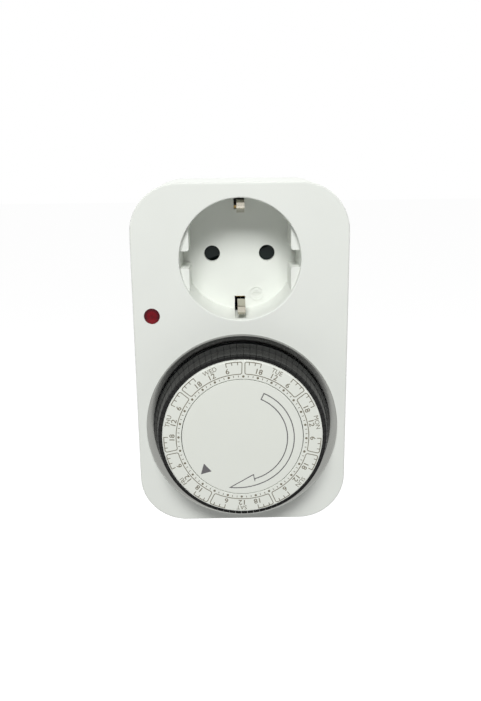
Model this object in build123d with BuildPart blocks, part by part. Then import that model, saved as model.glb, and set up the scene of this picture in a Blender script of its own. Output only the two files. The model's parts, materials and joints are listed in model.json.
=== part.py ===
from build123d import *
from math import acos, asin, cos, degrees, hypot, pi, radians, sin, sqrt, tan
import os

os.makedirs("parts", exist_ok=True)

# A mechanical seven-day timer that plugs into a wall socket and carries a socket of its own.
# Millimetres. The origin is the middle of the plug's end face, between its two pins.
# +X is to the right seen from the front, +Z is up, and the face looks along -Y.
# A depth is measured from the face into the case. What stands out of the face has a negative depth.

# ---- case: its outline is the ring's and the recess's diameters and the strips of face around them ----
face_above_recess = 4.9
face_between = 4.85
face_below_ring = 2.2
face_beside_ring = 3.0
case_depth = 38.0
case_corner = 16.0
front_wall = 2.2
rear_wall = 2.0
face_round = 0.6
back_round = 2.5
rear_cover_depth = 14.0
lip_height = 1.5
lip_thickness = 1.1
lip_clearance = 0.1
case_screw_inset = 7.4
case_screw_dia = 2.2
case_screw_head_dia = 5.0
case_screw_head_height = 1.8
case_screw_length = 16.0
case_boss_dia = 6.0
case_tube_dia = 8.4
screw_clearance = 0.3

# ---- socket: standard sizes of the two-pin side-earth system ----
pin_spacing = 19.0
pin_dia = 4.8
pin_length = 19.0
recess_depth = 17.5
recess_rim_dia = 39.8
recess_draft = 0.35
recess_rim_round = 0.4
recess_wall = 1.8
recess_floor = 2.2
pin_hole_dia = 5.5
filler_beyond_flat = 0.55
filler_below_face = 2.0
filler_round = 0.8
notch_width = 5.6
earth_slot_width = 3.7
earth_slot_in_wall = 0.7
earth_slot_below_face = 2.7

# ---- plug body on the back ----
plug_in_recess_play = 0.95
boss_height = 17.5
boss_flat_from_pin = 6.7
boss_key_width = 5.0
boss_wall = 2.0
boss_end = 2.5
boss_end_round = 0.8
strip_width = 5.0
strip_thickness = 1.1
strip_proud = 0.2
strip_from_end = 1.7
strip_length = 13.6
strip_tab = 1.6
side_play = 0.1

# ---- dial ----
dial_front = 10.8
tappet_count = 84
tappets_per_day = 12
tappet_travel = 2.2
tappet_gap = 0.14
scale_angle = 1.3
scale_overhang = 0.55
scale_band = 6.55
scale_ring_thickness = 1.2
scale_ring_round = 0.5
disc_gap = 0.2
disc_round = 0.15
rim_thickness = 1.75
rim_top_band = 1.0
guide_width = 0.85
guide_play = 0.1
web_thickness = 1.5
hub_wall = 2.4
post_dia = 6.0
post_flange_dia = 10.0
post_flange_thickness = 2.0
running_clearance = 0.05
stem_dia = 4.0
stem_length = 5.6
clip_thickness = 0.5
clip_dia = 9.2
washer_thickness = 0.3
washer_dia = 11.6

# ---- tappet cap, along its outer side from the foot to the tip; insets are from the foot ----
foot_in_ring_gap = 0.35
foot_depth = -2.0
foot_land = 0.45
foot_neck_inset = 1.0
foot_neck_depth = -4.3
tip_inset = 1.7
tip_depth = -9.5
tip_thickness = 2.0
tip_edge = 0.25
ridge_count = 2
ridge_height = 0.4
ridge_width = 0.35
ridge_edge_gap = 0.2
guide_end = 2.5
hook_width = 1.25
hook_thickness = 0.65
hook_length = 5.0

# ---- ring around the dial ----
collar_dia = 65.3
collar_band = 2.45
collar_overhang = 1.25
collar_proud = 1.15
collar_inner_proud = 0.65
collar_skirt_depth = 3.0
collar_edge_round = 0.3
pocket_wall = 1.4

# ---- indicator lamp ----
lamp_from_side = 6.25
lamp_above_rim = 1.6
lens_dia = 5.1
lens_wall = 0.6
lens_dome = 0.45
lens_sunk = 0.15
lens_length = 7.0
lens_flange_dia = 7.0
lens_flange_thickness = 1.0
bulb_dia = 3.4
bulb_length = 9.0
resistor_dia = 1.9
resistor_length = 5.0
lead_dia = 0.5
lead_length = 2.0

# ---- movement ----
plate_thickness = 2.0
plate_clearance = 0.5
plate_wall_gap = 0.3
plate_screw_from_opening = 3.4
plate_screw_angles = (45.0, 135.0, 210.0, 330.0)
plate_screw_dia = 1.8
plate_screw_head_dia = 3.8
plate_screw_head_height = 1.2
plate_screw_length = 4.4
plate_pad_dia = 4.8
bridge_gap = 6.6
bridge_thickness = 1.2
bridge_post_dia = 4.4
bridge_rim = 3.4
post_from_plate_edge = 3.5
post_from_motor = 2.8
bridge_screw_dia = 2.0
bridge_screw_head_dia = 4.0
bridge_screw_head_height = 1.4
bridge_screw_length = 6.0

# ---- gears: 25 degree teeth, shortened, with play so that they run free ----
pressure_angle = 25.0
addendum_share = 0.8
dedendum_share = 1.1
backlash = 0.12
ring_teeth = 70
rim_in_modules = 97.2
day_pinion_teeth = 10
day_wheel_teeth = 60
four_hour_pinion_teeth = 10
four_hour_wheel_teeth = 48
motor_pinion_teeth = 12
train_module_share = 0.8
ring_gear_width = 2.6
ring_gear_web = 5.5
wheel_width = 1.8
day_arbor_angle = 60.0
four_hour_arbor_angle = -30.0
motor_shaft_angle = 250.0
day_hub_dia = 3.2
journal_dia = 2.0
arbor_dia = 1.5
motor_shaft_dia = 1.5

# ---- motor ----
motor_below_dial = 4.6
motor_beyond_plate_radius = 0.1
motor_can_wall = 0.8
motor_behind_gap = 1.5
motor_cover_thickness = 1.0
gearbox_length = 5.0
gearbox_wall = 1.0
rotor_dia = 11.4
rotor_end_gap = 1.65
rotor_shaft_dia = 1.5
claw_inner_dia = 12.6
claw_thickness = 0.8
claw_count = 6
bobbin_hub_wall = 1.0
bobbin_flange = 1.0
winding_below_flange = 1.2
motor_screw_dia = 2.0
motor_screw_head_dia = 3.8
motor_screw_head_height = 1.0
motor_screws_from_middle = ((-8.0, 0.0), (4.0, -10.0))

# ---- switch ----
nose_dia = 1.3
nose_arm = 12.5
nose_rest_gap = 0.7
nose_end_gap = 0.1
plunger_arm = 6.5
plunger_dia = 1.8
plunger_gap = 0.1
plunger_stroke = 0.95
lever_width = 4.0
lever_thickness = 1.5
lever_behind_plate = 2.4
lever_gap = 0.6
lever_pin_dia = 1.6
ear_thickness = 1.2
switch_length = 20.0
switch_width = 6.4
switch_height = 10.2
switch_behind_lever = 3.0
switch_shift = 5.8
cradle_length = 15.0
cradle_shift = 1.5
cradle_wall = 1.2
cradle_height = 5.0
terminal_width = 3.2
terminal_thickness = 0.6
terminal_length = 5.0
terminal_pitch = 7.8

# ---- contacts and conductors ----
sheet = 0.8
bar_width = 4.0
contact_wall = 1.2
contact_length = 11.6
contact_slit = 1.0
chamber_wall = 1.25
chamber_play = 0.25
chamber_length = 8.6
carrier_in_recess_gap = 3.9
carrier_thickness = 2.0
carrier_leg_dia = 2.4
carrier_leg_inset = 1.5
shutter_thickness = 2.6
shutter_gap = 0.3
shutter_post_dia = 4.0
shutter_hub_dia = 8.4
shutter_blade_half_angle = 19.5
shutter_swing = 38.0
spring_wire = 0.4
spring_turns = 2
clip_sheet = 0.5
clip_width = 2.6
clip_offset = 0.35
pin_flange_dia = 6.8
pin_flange_thickness = 2.5
pin_tail_dia = 3.0
rivet_head_dia = 4.8
rivet_head_height = 0.8
pin_carrier_thickness = 2.0
pin_tip_round = 1.6

# ---- lead wires ----
wire_dia = 1.2

# ---- sizes that follow from others ----
recess_floor_dia = recess_rim_dia - 2 * recess_draft
boss_dia = recess_floor_dia - 2 * plug_in_recess_play
boss_flat_half = pin_spacing / 2 + boss_flat_from_pin
filler_half_gap = boss_flat_half + filler_beyond_flat
earth_leg_outer = boss_dia / 2 - boss_wall - 0.6
earth_slot_inner = earth_leg_outer - 0.95
earth_slot_outer = recess_rim_dia / 2 + earth_slot_in_wall
carrier_dia = recess_rim_dia - 2 * carrier_in_recess_gap
carrier_leg_radius = carrier_dia / 2 - carrier_leg_inset
shutter_reach = carrier_leg_radius - carrier_leg_dia / 2 - shutter_gap
collar_inner_dia = collar_dia - 2 * collar_band
opening_dia = collar_dia - 2 * collar_overhang
foot_radius = collar_inner_dia / 2 - foot_in_ring_gap
foot_neck_radius = foot_radius - foot_neck_inset
tip_radius = foot_radius - tip_inset
rim_outer_dia = 2 * (tip_radius - tip_thickness - guide_play)
rim_inner_dia = rim_outer_dia - 2 * rim_thickness
scale_ring_dia = rim_outer_dia + 2 * scale_overhang
centre_disc_dia = scale_ring_dia - 2 * scale_band
ring_module = rim_inner_dia / rim_in_modules
train_module = ring_module * train_module_share
ring_gear_bore_dia = ring_module * ring_teeth - 2 * ring_gear_web
case_width = collar_dia + 2 * face_beside_ring
socket_below_top = recess_rim_dia / 2 + face_above_recess
dial_below_socket = recess_rim_dia / 2 + face_between + collar_dia / 2
case_height = socket_below_top + dial_below_socket + collar_dia / 2 + face_below_ring
parting_depth = case_depth - rear_cover_depth
plate_radius = opening_dia / 2 + pocket_wall
plate_screw_radius = opening_dia / 2 + plate_screw_from_opening
motor_dia = plate_radius + 2 * motor_beyond_plate_radius

# ---- places that follow from the sizes ----
face_distance = boss_height + case_depth
case_middle_z = socket_below_top - case_height / 2
dial_z = -dial_below_socket
lamp_x = lamp_from_side - case_width / 2
lamp_z = lamp_above_rim - recess_rim_dia / 2
well_depth = recess_depth + recess_floor
well_dia = recess_rim_dia + 2 * recess_wall
disc_depth = scale_ring_thickness - dial_front
web_front = -0.9
web_back = web_front + web_thickness
ring_gear_back = web_back + ring_gear_width
plate_front = guide_end + tappet_travel + plate_clearance
plate_back = plate_front + plate_thickness
bridge_front = plate_back + bridge_gap
bridge_back = bridge_front + bridge_thickness
gearbox_back = bridge_back + gearbox_length
can_front = gearbox_back + motor_cover_thickness
rear_inside = case_depth - rear_wall
can_back = rear_inside - motor_behind_gap
motor_can_length = can_back - can_front
motor_x = plate_radius - post_from_plate_edge - post_from_motor - motor_dia / 2
motor_z = dial_z - motor_below_dial
motor_screws = [(motor_x + x, motor_z + z) for x, z in motor_screws_from_middle]
bridge_posts = [
    (-0.213 * plate_radius, dial_z + 0.607 * plate_radius),
    (motor_x + motor_dia / 2 + post_from_motor, motor_z),
    (-0.046 * plate_radius, dial_z - 0.704 * plate_radius),
]
day_wheel_front = plate_back + 0.8
day_wheel_back = day_wheel_front + wheel_width
four_hour_wheel_front = day_wheel_back + 1.0
four_hour_wheel_back = four_hour_wheel_front + wheel_width
carrier_front = well_depth + shutter_gap + shutter_thickness + 1.8
carrier_back = carrier_front + carrier_thickness
tappet_step = 360 / tappet_count


def at_depth(depth, x=0, z=0):
    """A plane across the case that looks out of the face, with its own X and Z origin."""
    return Plane(origin=(x, depth - face_distance, z), x_dir=(1, 0, 0), z_dir=(0, -1, 0))


def section_at(x, z):
    """A plane along an axis of the case, for profiles given as radius and depth."""
    return Plane(origin=(x, -face_distance, z), x_dir=(1, 0, 0), z_dir=(0, 0, 1))


def axis_at(x, z):
    """The line through x, z that runs from the face into the case."""
    return Axis((x, -face_distance, z), (0, 1, 0))


def polar(radius, angle):
    """A point on a circle, with the angle in degrees from +X towards +Z."""
    return (radius * cos(radians(angle)), radius * sin(radians(angle)))


def corner_places(inset):
    """The four places one inset away from the corners' arc centres, towards the corners."""
    x = case_width / 2 - case_corner + inset
    top = socket_below_top - case_corner + inset
    bottom = socket_below_top - case_height + case_corner - inset
    return [(x, top), (-x, top), (x, bottom), (-x, bottom)]


def write(name, piece):
    """Name a finished piece and save it as its own file."""
    piece.part.label = name
    export_step(piece.part, f"parts/{name}.step")


case_screws_at = corner_places(case_screw_inset)

# =====================================================================================
# Case
# =====================================================================================

plate_screws_at = [
    (x, dial_z + z) for x, z in (polar(plate_screw_radius, angle) for angle in plate_screw_angles)
]

with BuildPart() as front_cover:
    with BuildSketch(at_depth(parting_depth, 0, case_middle_z)):
        RectangleRounded(case_width, case_height, case_corner)
    extrude(amount=parting_depth)
    fillet(front_cover.faces().sort_by(Axis.Y)[0].edges(), face_round)
    with BuildSketch(at_depth(parting_depth, 0, case_middle_z)):
        RectangleRounded(
            case_width - 2 * front_wall, case_height - 2 * front_wall, case_corner - front_wall
        )
    extrude(amount=parting_depth - front_wall, mode=Mode.SUBTRACT)
    # the outside of the socket's well and of the dial's pocket
    with BuildSketch(at_depth(well_depth)):
        Circle(well_dia / 2)
    extrude(amount=well_depth - front_wall / 2)
    with BuildSketch(at_depth(plate_front)):
        with Locations((0, dial_z)):
            Circle(plate_radius)
        with Locations(*plate_screws_at):
            Circle(plate_pad_dia / 2)
    extrude(amount=plate_front - front_wall / 2)
    # bosses that the case screws bite into
    with BuildSketch(at_depth(parting_depth - lip_height - side_play)):
        with Locations(*case_screws_at):
            Circle(case_boss_dia / 2)
    extrude(amount=parting_depth - lip_height - side_play - front_wall / 2)
    # the recess, with a rounded rim and a slight draft
    with BuildSketch(section_at(0, 0)):
        with BuildLine():
            short = recess_rim_round * (1 - sqrt(0.5))
            rim = recess_rim_dia / 2
            Line((0, 0), (rim + recess_rim_round, 0))
            ThreePointArc(
                (rim + recess_rim_round, 0), (rim + short, short), (rim, recess_rim_round)
            )
            Polyline(
                (rim, recess_rim_round), (recess_floor_dia / 2, recess_depth), (0, recess_depth), (0, 0)
            )
        make_face()
    revolve(axis=axis_at(0, 0), mode=Mode.SUBTRACT)
    # chord fillers left and right, each with a notch for the plug's key
    with BuildSketch(at_depth(recess_depth)) as fillers:
        Circle(recess_rim_dia / 2 + recess_wall / 2)
        Rectangle(2 * filler_half_gap, recess_rim_dia + recess_wall, mode=Mode.SUBTRACT)
        Rectangle(recess_rim_dia + 2 * recess_wall, notch_width, mode=Mode.SUBTRACT)
        notch_corners = [
            corner
            for corner in fillers.vertices()
            if abs(corner.X) < filler_half_gap + 0.1 and abs(corner.Y) < notch_width / 2 + 0.1
        ]
        fillet(notch_corners, filler_round)
    extrude(amount=recess_depth - filler_below_face)
    with BuildSketch(at_depth(well_depth)):
        with GridLocations(pin_spacing, 0, 2, 1):
            Circle(pin_hole_dia / 2)
    extrude(amount=recess_floor, mode=Mode.SUBTRACT)
    with BuildSketch(at_depth(well_depth)):
        with GridLocations(0, earth_slot_inner + earth_slot_outer, 1, 2):
            Rectangle(earth_slot_width, earth_slot_outer - earth_slot_inner)
    extrude(amount=well_depth - earth_slot_below_face, mode=Mode.SUBTRACT)
    # pivot post of the shutter, on the back of the recess floor
    with BuildSketch(at_depth(carrier_front)):
        Circle(shutter_post_dia / 2)
    extrude(amount=carrier_front - well_depth)
    with BuildSketch(at_depth(plate_front)):
        with Locations((0, dial_z)):
            Circle(opening_dia / 2)
    extrude(amount=plate_front, mode=Mode.SUBTRACT)
    with BuildSketch(at_depth(front_wall)):
        with Locations((lamp_x, lamp_z)):
            Circle(lens_dia / 2 + side_play)
    extrude(amount=front_wall, mode=Mode.SUBTRACT)
    # pilot holes
    with BuildSketch(at_depth(plate_front)):
        with Locations(*plate_screws_at):
            Circle(plate_screw_dia / 2)
    extrude(amount=plate_screw_length - plate_thickness, mode=Mode.SUBTRACT)
    with BuildSketch(at_depth(parting_depth - lip_height - side_play)):
        with Locations(*case_screws_at):
            Circle(case_screw_dia / 2)
    extrude(amount=case_screw_length - 2.0, mode=Mode.SUBTRACT)
write("front_cover", front_cover)

screw_seat_depth = case_depth - 4.0

with BuildPart() as rear_cover:
    with BuildSketch(at_depth(case_depth, 0, case_middle_z)):
        RectangleRounded(case_width, case_height, case_corner)
    extrude(amount=case_depth - parting_depth)
    fillet(rear_cover.faces().sort_by(Axis.Y)[-1].edges(), back_round)
    with BuildSketch(at_depth(rear_inside, 0, case_middle_z)):
        RectangleRounded(
            case_width - 2 * front_wall, case_height - 2 * front_wall, case_corner - front_wall
        )
    extrude(amount=rear_inside - parting_depth, mode=Mode.SUBTRACT)
    # lip that enters the front cover, on a foot that joins it to the wall
    lip_inset = front_wall + lip_clearance
    lip_inner = lip_inset + lip_thickness
    for outer_inset, back, height in (
        (front_wall / 2, parting_depth + lip_height, lip_height),
        (lip_inset, parting_depth, lip_height),
    ):
        with BuildSketch(at_depth(back, 0, case_middle_z)):
            RectangleRounded(
                case_width - 2 * outer_inset, case_height - 2 * outer_inset, case_corner - outer_inset
            )
            RectangleRounded(
                case_width - 2 * lip_inner,
                case_height - 2 * lip_inner,
                case_corner - lip_inner,
                mode=Mode.SUBTRACT,
            )
        extrude(amount=height)
    # tubes that the case screws pass through
    with BuildSketch(at_depth(case_depth - rear_wall / 2)):
        with Locations(*case_screws_at):
            Circle(case_tube_dia / 2)
    extrude(amount=case_depth - rear_wall / 2 - parting_depth)
    with BuildSketch(at_depth(parting_depth)):
        with Locations(*case_screws_at):
            Circle(case_boss_dia / 2)
    extrude(amount=lip_height)
    with BuildSketch(at_depth(case_depth)):
        with Locations(*case_screws_at):
            Circle(case_screw_head_dia / 2 + screw_clearance)
    extrude(amount=case_depth - screw_seat_depth, mode=Mode.SUBTRACT)
    with BuildSketch(at_depth(screw_seat_depth)):
        with Locations(*case_screws_at):
            Circle(case_screw_dia / 2 + screw_clearance)
    extrude(amount=screw_seat_depth - parting_depth + lip_height, mode=Mode.SUBTRACT)
    # ring that holds the motor against its plate
    with BuildSketch(at_depth(case_depth - rear_wall / 2)):
        with Locations((motor_x, motor_z)):
            Circle(motor_dia / 4 + 1.5)
            Circle(motor_dia / 4, mode=Mode.SUBTRACT)
    extrude(amount=case_depth - rear_wall / 2 - can_back)
    # plug body: round, with two flats and a key on each flat
    with BuildSketch(Plane.XZ):
        Circle(boss_dia / 2)
        Rectangle(2 * boss_flat_half, boss_dia, mode=Mode.INTERSECT)
        Rectangle(boss_dia - 0.6, boss_key_width)
    extrude(amount=boss_height + rear_wall / 2)
    fillet(rear_cover.faces().sort_by(Axis.Y)[-1].edges(), boss_end_round)
    with BuildSketch(Plane.XZ.offset(boss_end)):
        Circle(boss_dia / 2 - boss_wall)
        Rectangle(2 * (boss_flat_half - boss_wall), boss_dia, mode=Mode.INTERSECT)
    extrude(amount=boss_height + rear_wall - boss_end, mode=Mode.SUBTRACT)
    with BuildSketch(Plane.XZ):
        with GridLocations(pin_spacing, 0, 2, 1):
            Circle(pin_dia / 2)
    extrude(amount=boss_end, mode=Mode.SUBTRACT)
    # grooves for the side earth strips, each with a way in at its root
    strip_outer = boss_dia / 2 + strip_proud
    with BuildSketch(Plane.XZ.offset(strip_from_end - side_play)):
        with GridLocations(0, 2 * (strip_outer - strip_thickness / 2), 1, 2):
            Rectangle(strip_width + 2 * side_play, strip_thickness)
    extrude(amount=strip_length + 2 * side_play, mode=Mode.SUBTRACT)
    with BuildSketch(Plane.XZ.offset(strip_from_end + strip_length - strip_tab - side_play)):
        with GridLocations(0, 2 * (strip_outer - boss_wall), 1, 2):
            Rectangle(strip_width + 2 * side_play, 2 * boss_wall)
    extrude(amount=strip_tab + 2 * side_play, mode=Mode.SUBTRACT)
write("rear_cover", rear_cover)

with BuildPart() as case_screws:
    with BuildSketch(at_depth(screw_seat_depth + case_screw_head_height)):
        with Locations(*case_screws_at):
            Circle(case_screw_head_dia / 2)
    extrude(amount=case_screw_head_height)
    with BuildSketch(at_depth(screw_seat_depth)):
        with Locations(*case_screws_at):
            Circle(case_screw_dia / 2)
    extrude(amount=case_screw_length)
    with BuildSketch(at_depth(screw_seat_depth + case_screw_head_height)):
        with Locations(*case_screws_at):
            Rectangle(case_screw_head_dia * 0.6, 0.7)
            Rectangle(0.7, case_screw_head_dia * 0.6)
    extrude(amount=1.0, mode=Mode.SUBTRACT)
write("case_screws", case_screws)

with BuildPart() as collar_ring:
    with BuildSketch(section_at(0, dial_z)):
        with BuildLine():
            Polyline(
                (collar_inner_dia / 2, collar_skirt_depth),
                (opening_dia / 2 - running_clearance, collar_skirt_depth),
                (opening_dia / 2 - running_clearance, 0),
                (collar_dia / 2, 0),
                (collar_dia / 2, -collar_proud),
                (collar_inner_dia / 2, -collar_inner_proud),
                (collar_inner_dia / 2, collar_skirt_depth),
            )
        make_face()
    revolve(axis=axis_at(0, dial_z))
    outer_edge = collar_ring.edges().filter_by(GeomType.CIRCLE).sort_by(Axis.Y)[0]
    fillet(outer_edge, collar_edge_round)
write("collar_ring", collar_ring)

# =====================================================================================
# Indicator lamp
# =====================================================================================

lens_end = lens_sunk + lens_length
bulb_front = lens_sunk + lens_dome + lens_wall + 0.3

with BuildPart() as lamp_lens:
    with BuildSketch(section_at(lamp_x, lamp_z)):
        with BuildLine():
            crown = lens_sunk - lens_dome
            inner = lens_dia / 2 - lens_wall
            ThreePointArc(
                (0, crown), (lens_dia / 4, crown + lens_dome * 0.27), (lens_dia / 2, lens_sunk)
            )
            Polyline(
                (lens_dia / 2, lens_sunk),
                (lens_dia / 2, front_wall),
                (lens_flange_dia / 2, front_wall),
                (lens_flange_dia / 2, front_wall + lens_flange_thickness),
                (lens_dia / 2, front_wall + lens_flange_thickness),
                (lens_dia / 2, lens_end),
                (inner, lens_end),
                (inner, lens_sunk + lens_wall),
                (0, lens_sunk + lens_wall),
                (0, crown),
            )
        make_face()
    revolve(axis=axis_at(lamp_x, lamp_z))
write("lamp_lens", lamp_lens)

with BuildPart() as neon_lamp:
    with BuildSketch(at_depth(bulb_front + bulb_length, lamp_x, lamp_z)):
        Circle(bulb_dia / 2)
    extrude(amount=bulb_length)
    fillet(neon_lamp.faces().sort_by(Axis.Y)[0].edges(), bulb_dia * 0.4)
    # the lamp's foot is held by the end of the lens
    with BuildSketch(at_depth(lens_end + 0.8, lamp_x, lamp_z)):
        Circle(lens_dia / 2)
    extrude(amount=0.8)
write("neon_lamp", neon_lamp)

resistor_front = bulb_front + bulb_length + lead_length
with BuildPart() as lamp_resistor:
    with BuildSketch(at_depth(resistor_front + resistor_length, lamp_x, lamp_z)):
        Circle(resistor_dia / 2)
    extrude(amount=resistor_length)
    with BuildSketch(at_depth(resistor_front + resistor_length + lead_length, lamp_x, lamp_z)):
        Circle(lead_dia / 2)
    extrude(amount=resistor_length + 2 * lead_length)
write("lamp_resistor", lamp_resistor)

# =====================================================================================
# Plug: pins, their carrier and the earth metal
# =====================================================================================

pin_carrier_back = boss_end + pin_flange_thickness
pin_carrier_front = pin_carrier_back + pin_carrier_thickness
tail_length = pin_carrier_thickness + sheet + rivet_head_height

for name, side in (("line_pin", -1), ("neutral_pin", 1)):
    with BuildPart() as pin:
        with BuildSketch(Plane.XZ.offset(-pin_length)):
            with Locations((side * pin_spacing / 2, 0)):
                Circle(pin_dia / 2)
        extrude(amount=pin_length + boss_end)
        fillet(pin.faces().sort_by(Axis.Y)[-1].edges(), pin_tip_round)
        with BuildSketch(Plane.XZ.offset(boss_end)):
            with Locations((side * pin_spacing / 2, 0)):
                Circle(pin_flange_dia / 2)
        extrude(amount=pin_flange_thickness)
        with BuildSketch(Plane.XZ.offset(pin_carrier_back)):
            with Locations((side * pin_spacing / 2, 0)):
                Circle(pin_tail_dia / 2)
        extrude(amount=tail_length)
        with BuildSketch(Plane.XZ.offset(pin_carrier_front + sheet)):
            with Locations((side * pin_spacing / 2, 0)):
                Circle(rivet_head_dia / 2)
        extrude(amount=rivet_head_height)
    write(name, pin)

with BuildPart() as pin_carrier:
    with BuildSketch(Plane.XZ.offset(pin_carrier_back)):
        Circle(boss_dia / 2 - boss_wall - side_play)
        Rectangle(2 * (boss_flat_half - boss_wall - side_play), boss_dia, mode=Mode.INTERSECT)
        with GridLocations(pin_spacing, 0, 2, 1):
            Circle(pin_tail_dia / 2, mode=Mode.SUBTRACT)
    extrude(amount=pin_carrier_thickness)
write("pin_carrier", pin_carrier)

leg_outer = earth_leg_outer
leg_back = strip_from_end + strip_length
strap_depth = 30.2

for name, side in (("plug_earth_strip_top", 1), ("plug_earth_strip_bottom", -1)):
    with BuildPart() as strip:
        with BuildSketch(Plane.XZ.offset(strip_from_end)):
            with Locations((0, side * (strip_outer - strip_thickness / 2))):
                Rectangle(strip_width, strip_thickness)
        extrude(amount=strip_length)
        fillet(strip.faces().sort_by(Axis.Y)[-1].edges().filter_by(Axis.Z), strip_width * 0.3)
        with BuildSketch(Plane.XZ.offset(leg_back - strip_tab)):
            with Locations((0, side * (leg_outer + strip_outer - strip_thickness / 2) / 2)):
                Rectangle(strip_width - 0.6, strip_outer - strip_thickness / 2 - leg_outer)
        extrude(amount=strip_tab)
    write(name, strip)

with BuildPart() as earth_bracket:
    with BuildSketch(Plane.XZ.offset(leg_back - strip_tab)):
        with GridLocations(0, 2 * leg_outer - sheet, 1, 2):
            Rectangle(bar_width, sheet)
    extrude(amount=face_distance - well_depth - 2.0 - leg_back + strip_tab)
    with BuildSketch(at_depth(strap_depth + sheet)):
        Rectangle(bar_width, 2 * leg_outer - sheet)
    extrude(amount=sheet)
write("earth_bracket", earth_bracket)

for name, side in (("earth_clip_top", 1), ("earth_clip_bottom", -1)):
    with BuildPart() as earth_clip:
        with BuildSketch(Plane.YZ.offset(clip_offset)):
            with BuildLine():
                root = leg_outer + clip_sheet / 2
                wall_line = recess_floor_dia / 2 - 0.9
                bend_depth = earth_slot_below_face + 1.0
                FilletPolyline(
                    *[
                        (depth - face_distance, side * z)
                        for depth, z in (
                            (strap_depth - 2.0, root),
                            (well_depth + 2.0, root),
                            (well_depth - 2.6, wall_line - 0.1),
                            (bend_depth, wall_line + 0.1),
                            (bend_depth, wall_line - 2.2),
                            (bend_depth + 5.4, earth_slot_inner - 0.3),
                            (recess_depth - 3.0, earth_slot_inner + 1.6),
                        )
                    ],
                    radius=1.0,
                )
            trace(line_width=clip_sheet)
        extrude(amount=clip_width / 2, both=True)
    write(name, earth_clip)

# =====================================================================================
# Socket: shutter, contact carrier and contacts
# =====================================================================================

shutter_front = well_depth + shutter_gap
shutter_back = shutter_front + shutter_thickness

with BuildPart() as shutter:
    with BuildSketch(at_depth(shutter_back)):
        for turn in (0, 180):
            start = turn - shutter_blade_half_angle
            stop = turn + shutter_blade_half_angle
            with BuildLine():
                Line((0, 0), polar(shutter_reach, start))
                CenterArc((0, 0), shutter_reach, start, stop - start)
                Line(polar(shutter_reach, stop), (0, 0))
            make_face()
        Circle(shutter_hub_dia / 2)
        Circle(shutter_post_dia / 2 + running_clearance, mode=Mode.SUBTRACT)
    extrude(amount=shutter_thickness)
    # each blade's leading edge is a ramp that an entering pin pushes aside
    ramps = shutter.edges().filter_by(
        lambda edge: edge.geom_type == GeomType.LINE
        and abs(edge.center().Y - (shutter_front - face_distance)) < 0.01
        and edge.center().X * edge.center().Z > 0
    )
    chamfer(ramps, shutter_thickness * 0.6)
write("shutter", shutter)

spring_radius = (shutter_post_dia + spring_wire) / 2 + 0.15
spring_pitch = spring_wire * 1.25
spring_start = shutter_back + spring_wire / 2 + 0.1
with BuildPart() as shutter_spring:
    with BuildLine() as coil:
        Helix(
            spring_pitch,
            spring_pitch * spring_turns,
            spring_radius,
            center=(0, spring_start - face_distance, 0),
            direction=(0, 1, 0),
        )
    with BuildSketch(Plane(origin=coil.line @ 0, z_dir=coil.line % 0)):
        Circle(spring_wire / 2)
    sweep(is_frenet=True)
write("shutter_spring", shutter_spring)

contact_outer = pin_dia / 2 + contact_wall
chamber_inner = contact_outer + chamber_play

with BuildPart() as contact_carrier:
    with BuildSketch(at_depth(carrier_back)):
        Circle(carrier_dia / 2)
        with GridLocations(0, carrier_dia, 1, 2):
            Rectangle(bar_width + 2.0, 2 * (carrier_dia / 2 - earth_slot_inner + 1.5), mode=Mode.SUBTRACT)
    extrude(amount=carrier_thickness)
    with BuildSketch(at_depth(carrier_back + chamber_length)):
        with GridLocations(pin_spacing, 0, 2, 1):
            Circle(chamber_inner + chamber_wall)
    extrude(amount=chamber_length)
    with BuildSketch(at_depth(carrier_back + chamber_length)):
        with GridLocations(pin_spacing, 0, 2, 1):
            Circle(chamber_inner)
    extrude(amount=chamber_length, mode=Mode.SUBTRACT)
    with BuildSketch(at_depth(carrier_back)):
        with GridLocations(pin_spacing, 0, 2, 1):
            Circle(pin_hole_dia / 2)
    extrude(amount=carrier_thickness, mode=Mode.SUBTRACT)
    with BuildSketch(at_depth(carrier_front)):
        with PolarLocations(carrier_leg_radius, 4, start_angle=45):
            Circle(carrier_leg_dia / 2)
    extrude(amount=carrier_front - well_depth)
write("contact_carrier", contact_carrier)

contact_end = carrier_back + contact_length
for name, side in (("line_contact", -1), ("neutral_contact", 1)):
    with BuildPart() as contact:
        with BuildSketch(at_depth(contact_end, side * pin_spacing / 2, 0)):
            Circle(contact_outer)
            Circle(pin_dia / 2 + running_clearance, mode=Mode.SUBTRACT)
            with Locations((-side * contact_outer, 0)):
                Rectangle(2 * contact_wall + 1.0, contact_slit, mode=Mode.SUBTRACT)
        extrude(amount=contact_length)
    write(name, contact)

# The neutral bar joins the neutral contact to the neutral pin inside the plug body.
sleeve_side = pin_spacing / 2 + contact_outer
bar_seat = face_distance - pin_carrier_front
with BuildPart() as neutral_bar:
    with BuildSketch(at_depth(bar_seat)):
        with Locations(((sleeve_side + sheet + pin_spacing / 2 - 2.6) / 2, 0)):
            Rectangle(sleeve_side + sheet - pin_spacing / 2 + 2.6, bar_width)
        with Locations((pin_spacing / 2, 0)):
            Circle(pin_tail_dia / 2, mode=Mode.SUBTRACT)
    extrude(amount=sheet)
    with BuildSketch(at_depth(bar_seat)):
        with Locations((sleeve_side + sheet / 2, 0)):
            Rectangle(sheet, bar_width)
    extrude(amount=bar_seat - contact_end + 2.4)
write("neutral_bar", neutral_bar)

# =====================================================================================
# Dial
# =====================================================================================

pocket_axis = axis_at(0, dial_z)
post_top = disc_depth
clip_front = post_top + 1.0
hub_front = clip_front + clip_thickness + side_play
hub_back = plate_front - washer_thickness - side_play
hub_outer = post_dia / 2 + running_clearance + hub_wall
support_inner = centre_disc_dia / 2 + 2 * disc_gap

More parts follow.
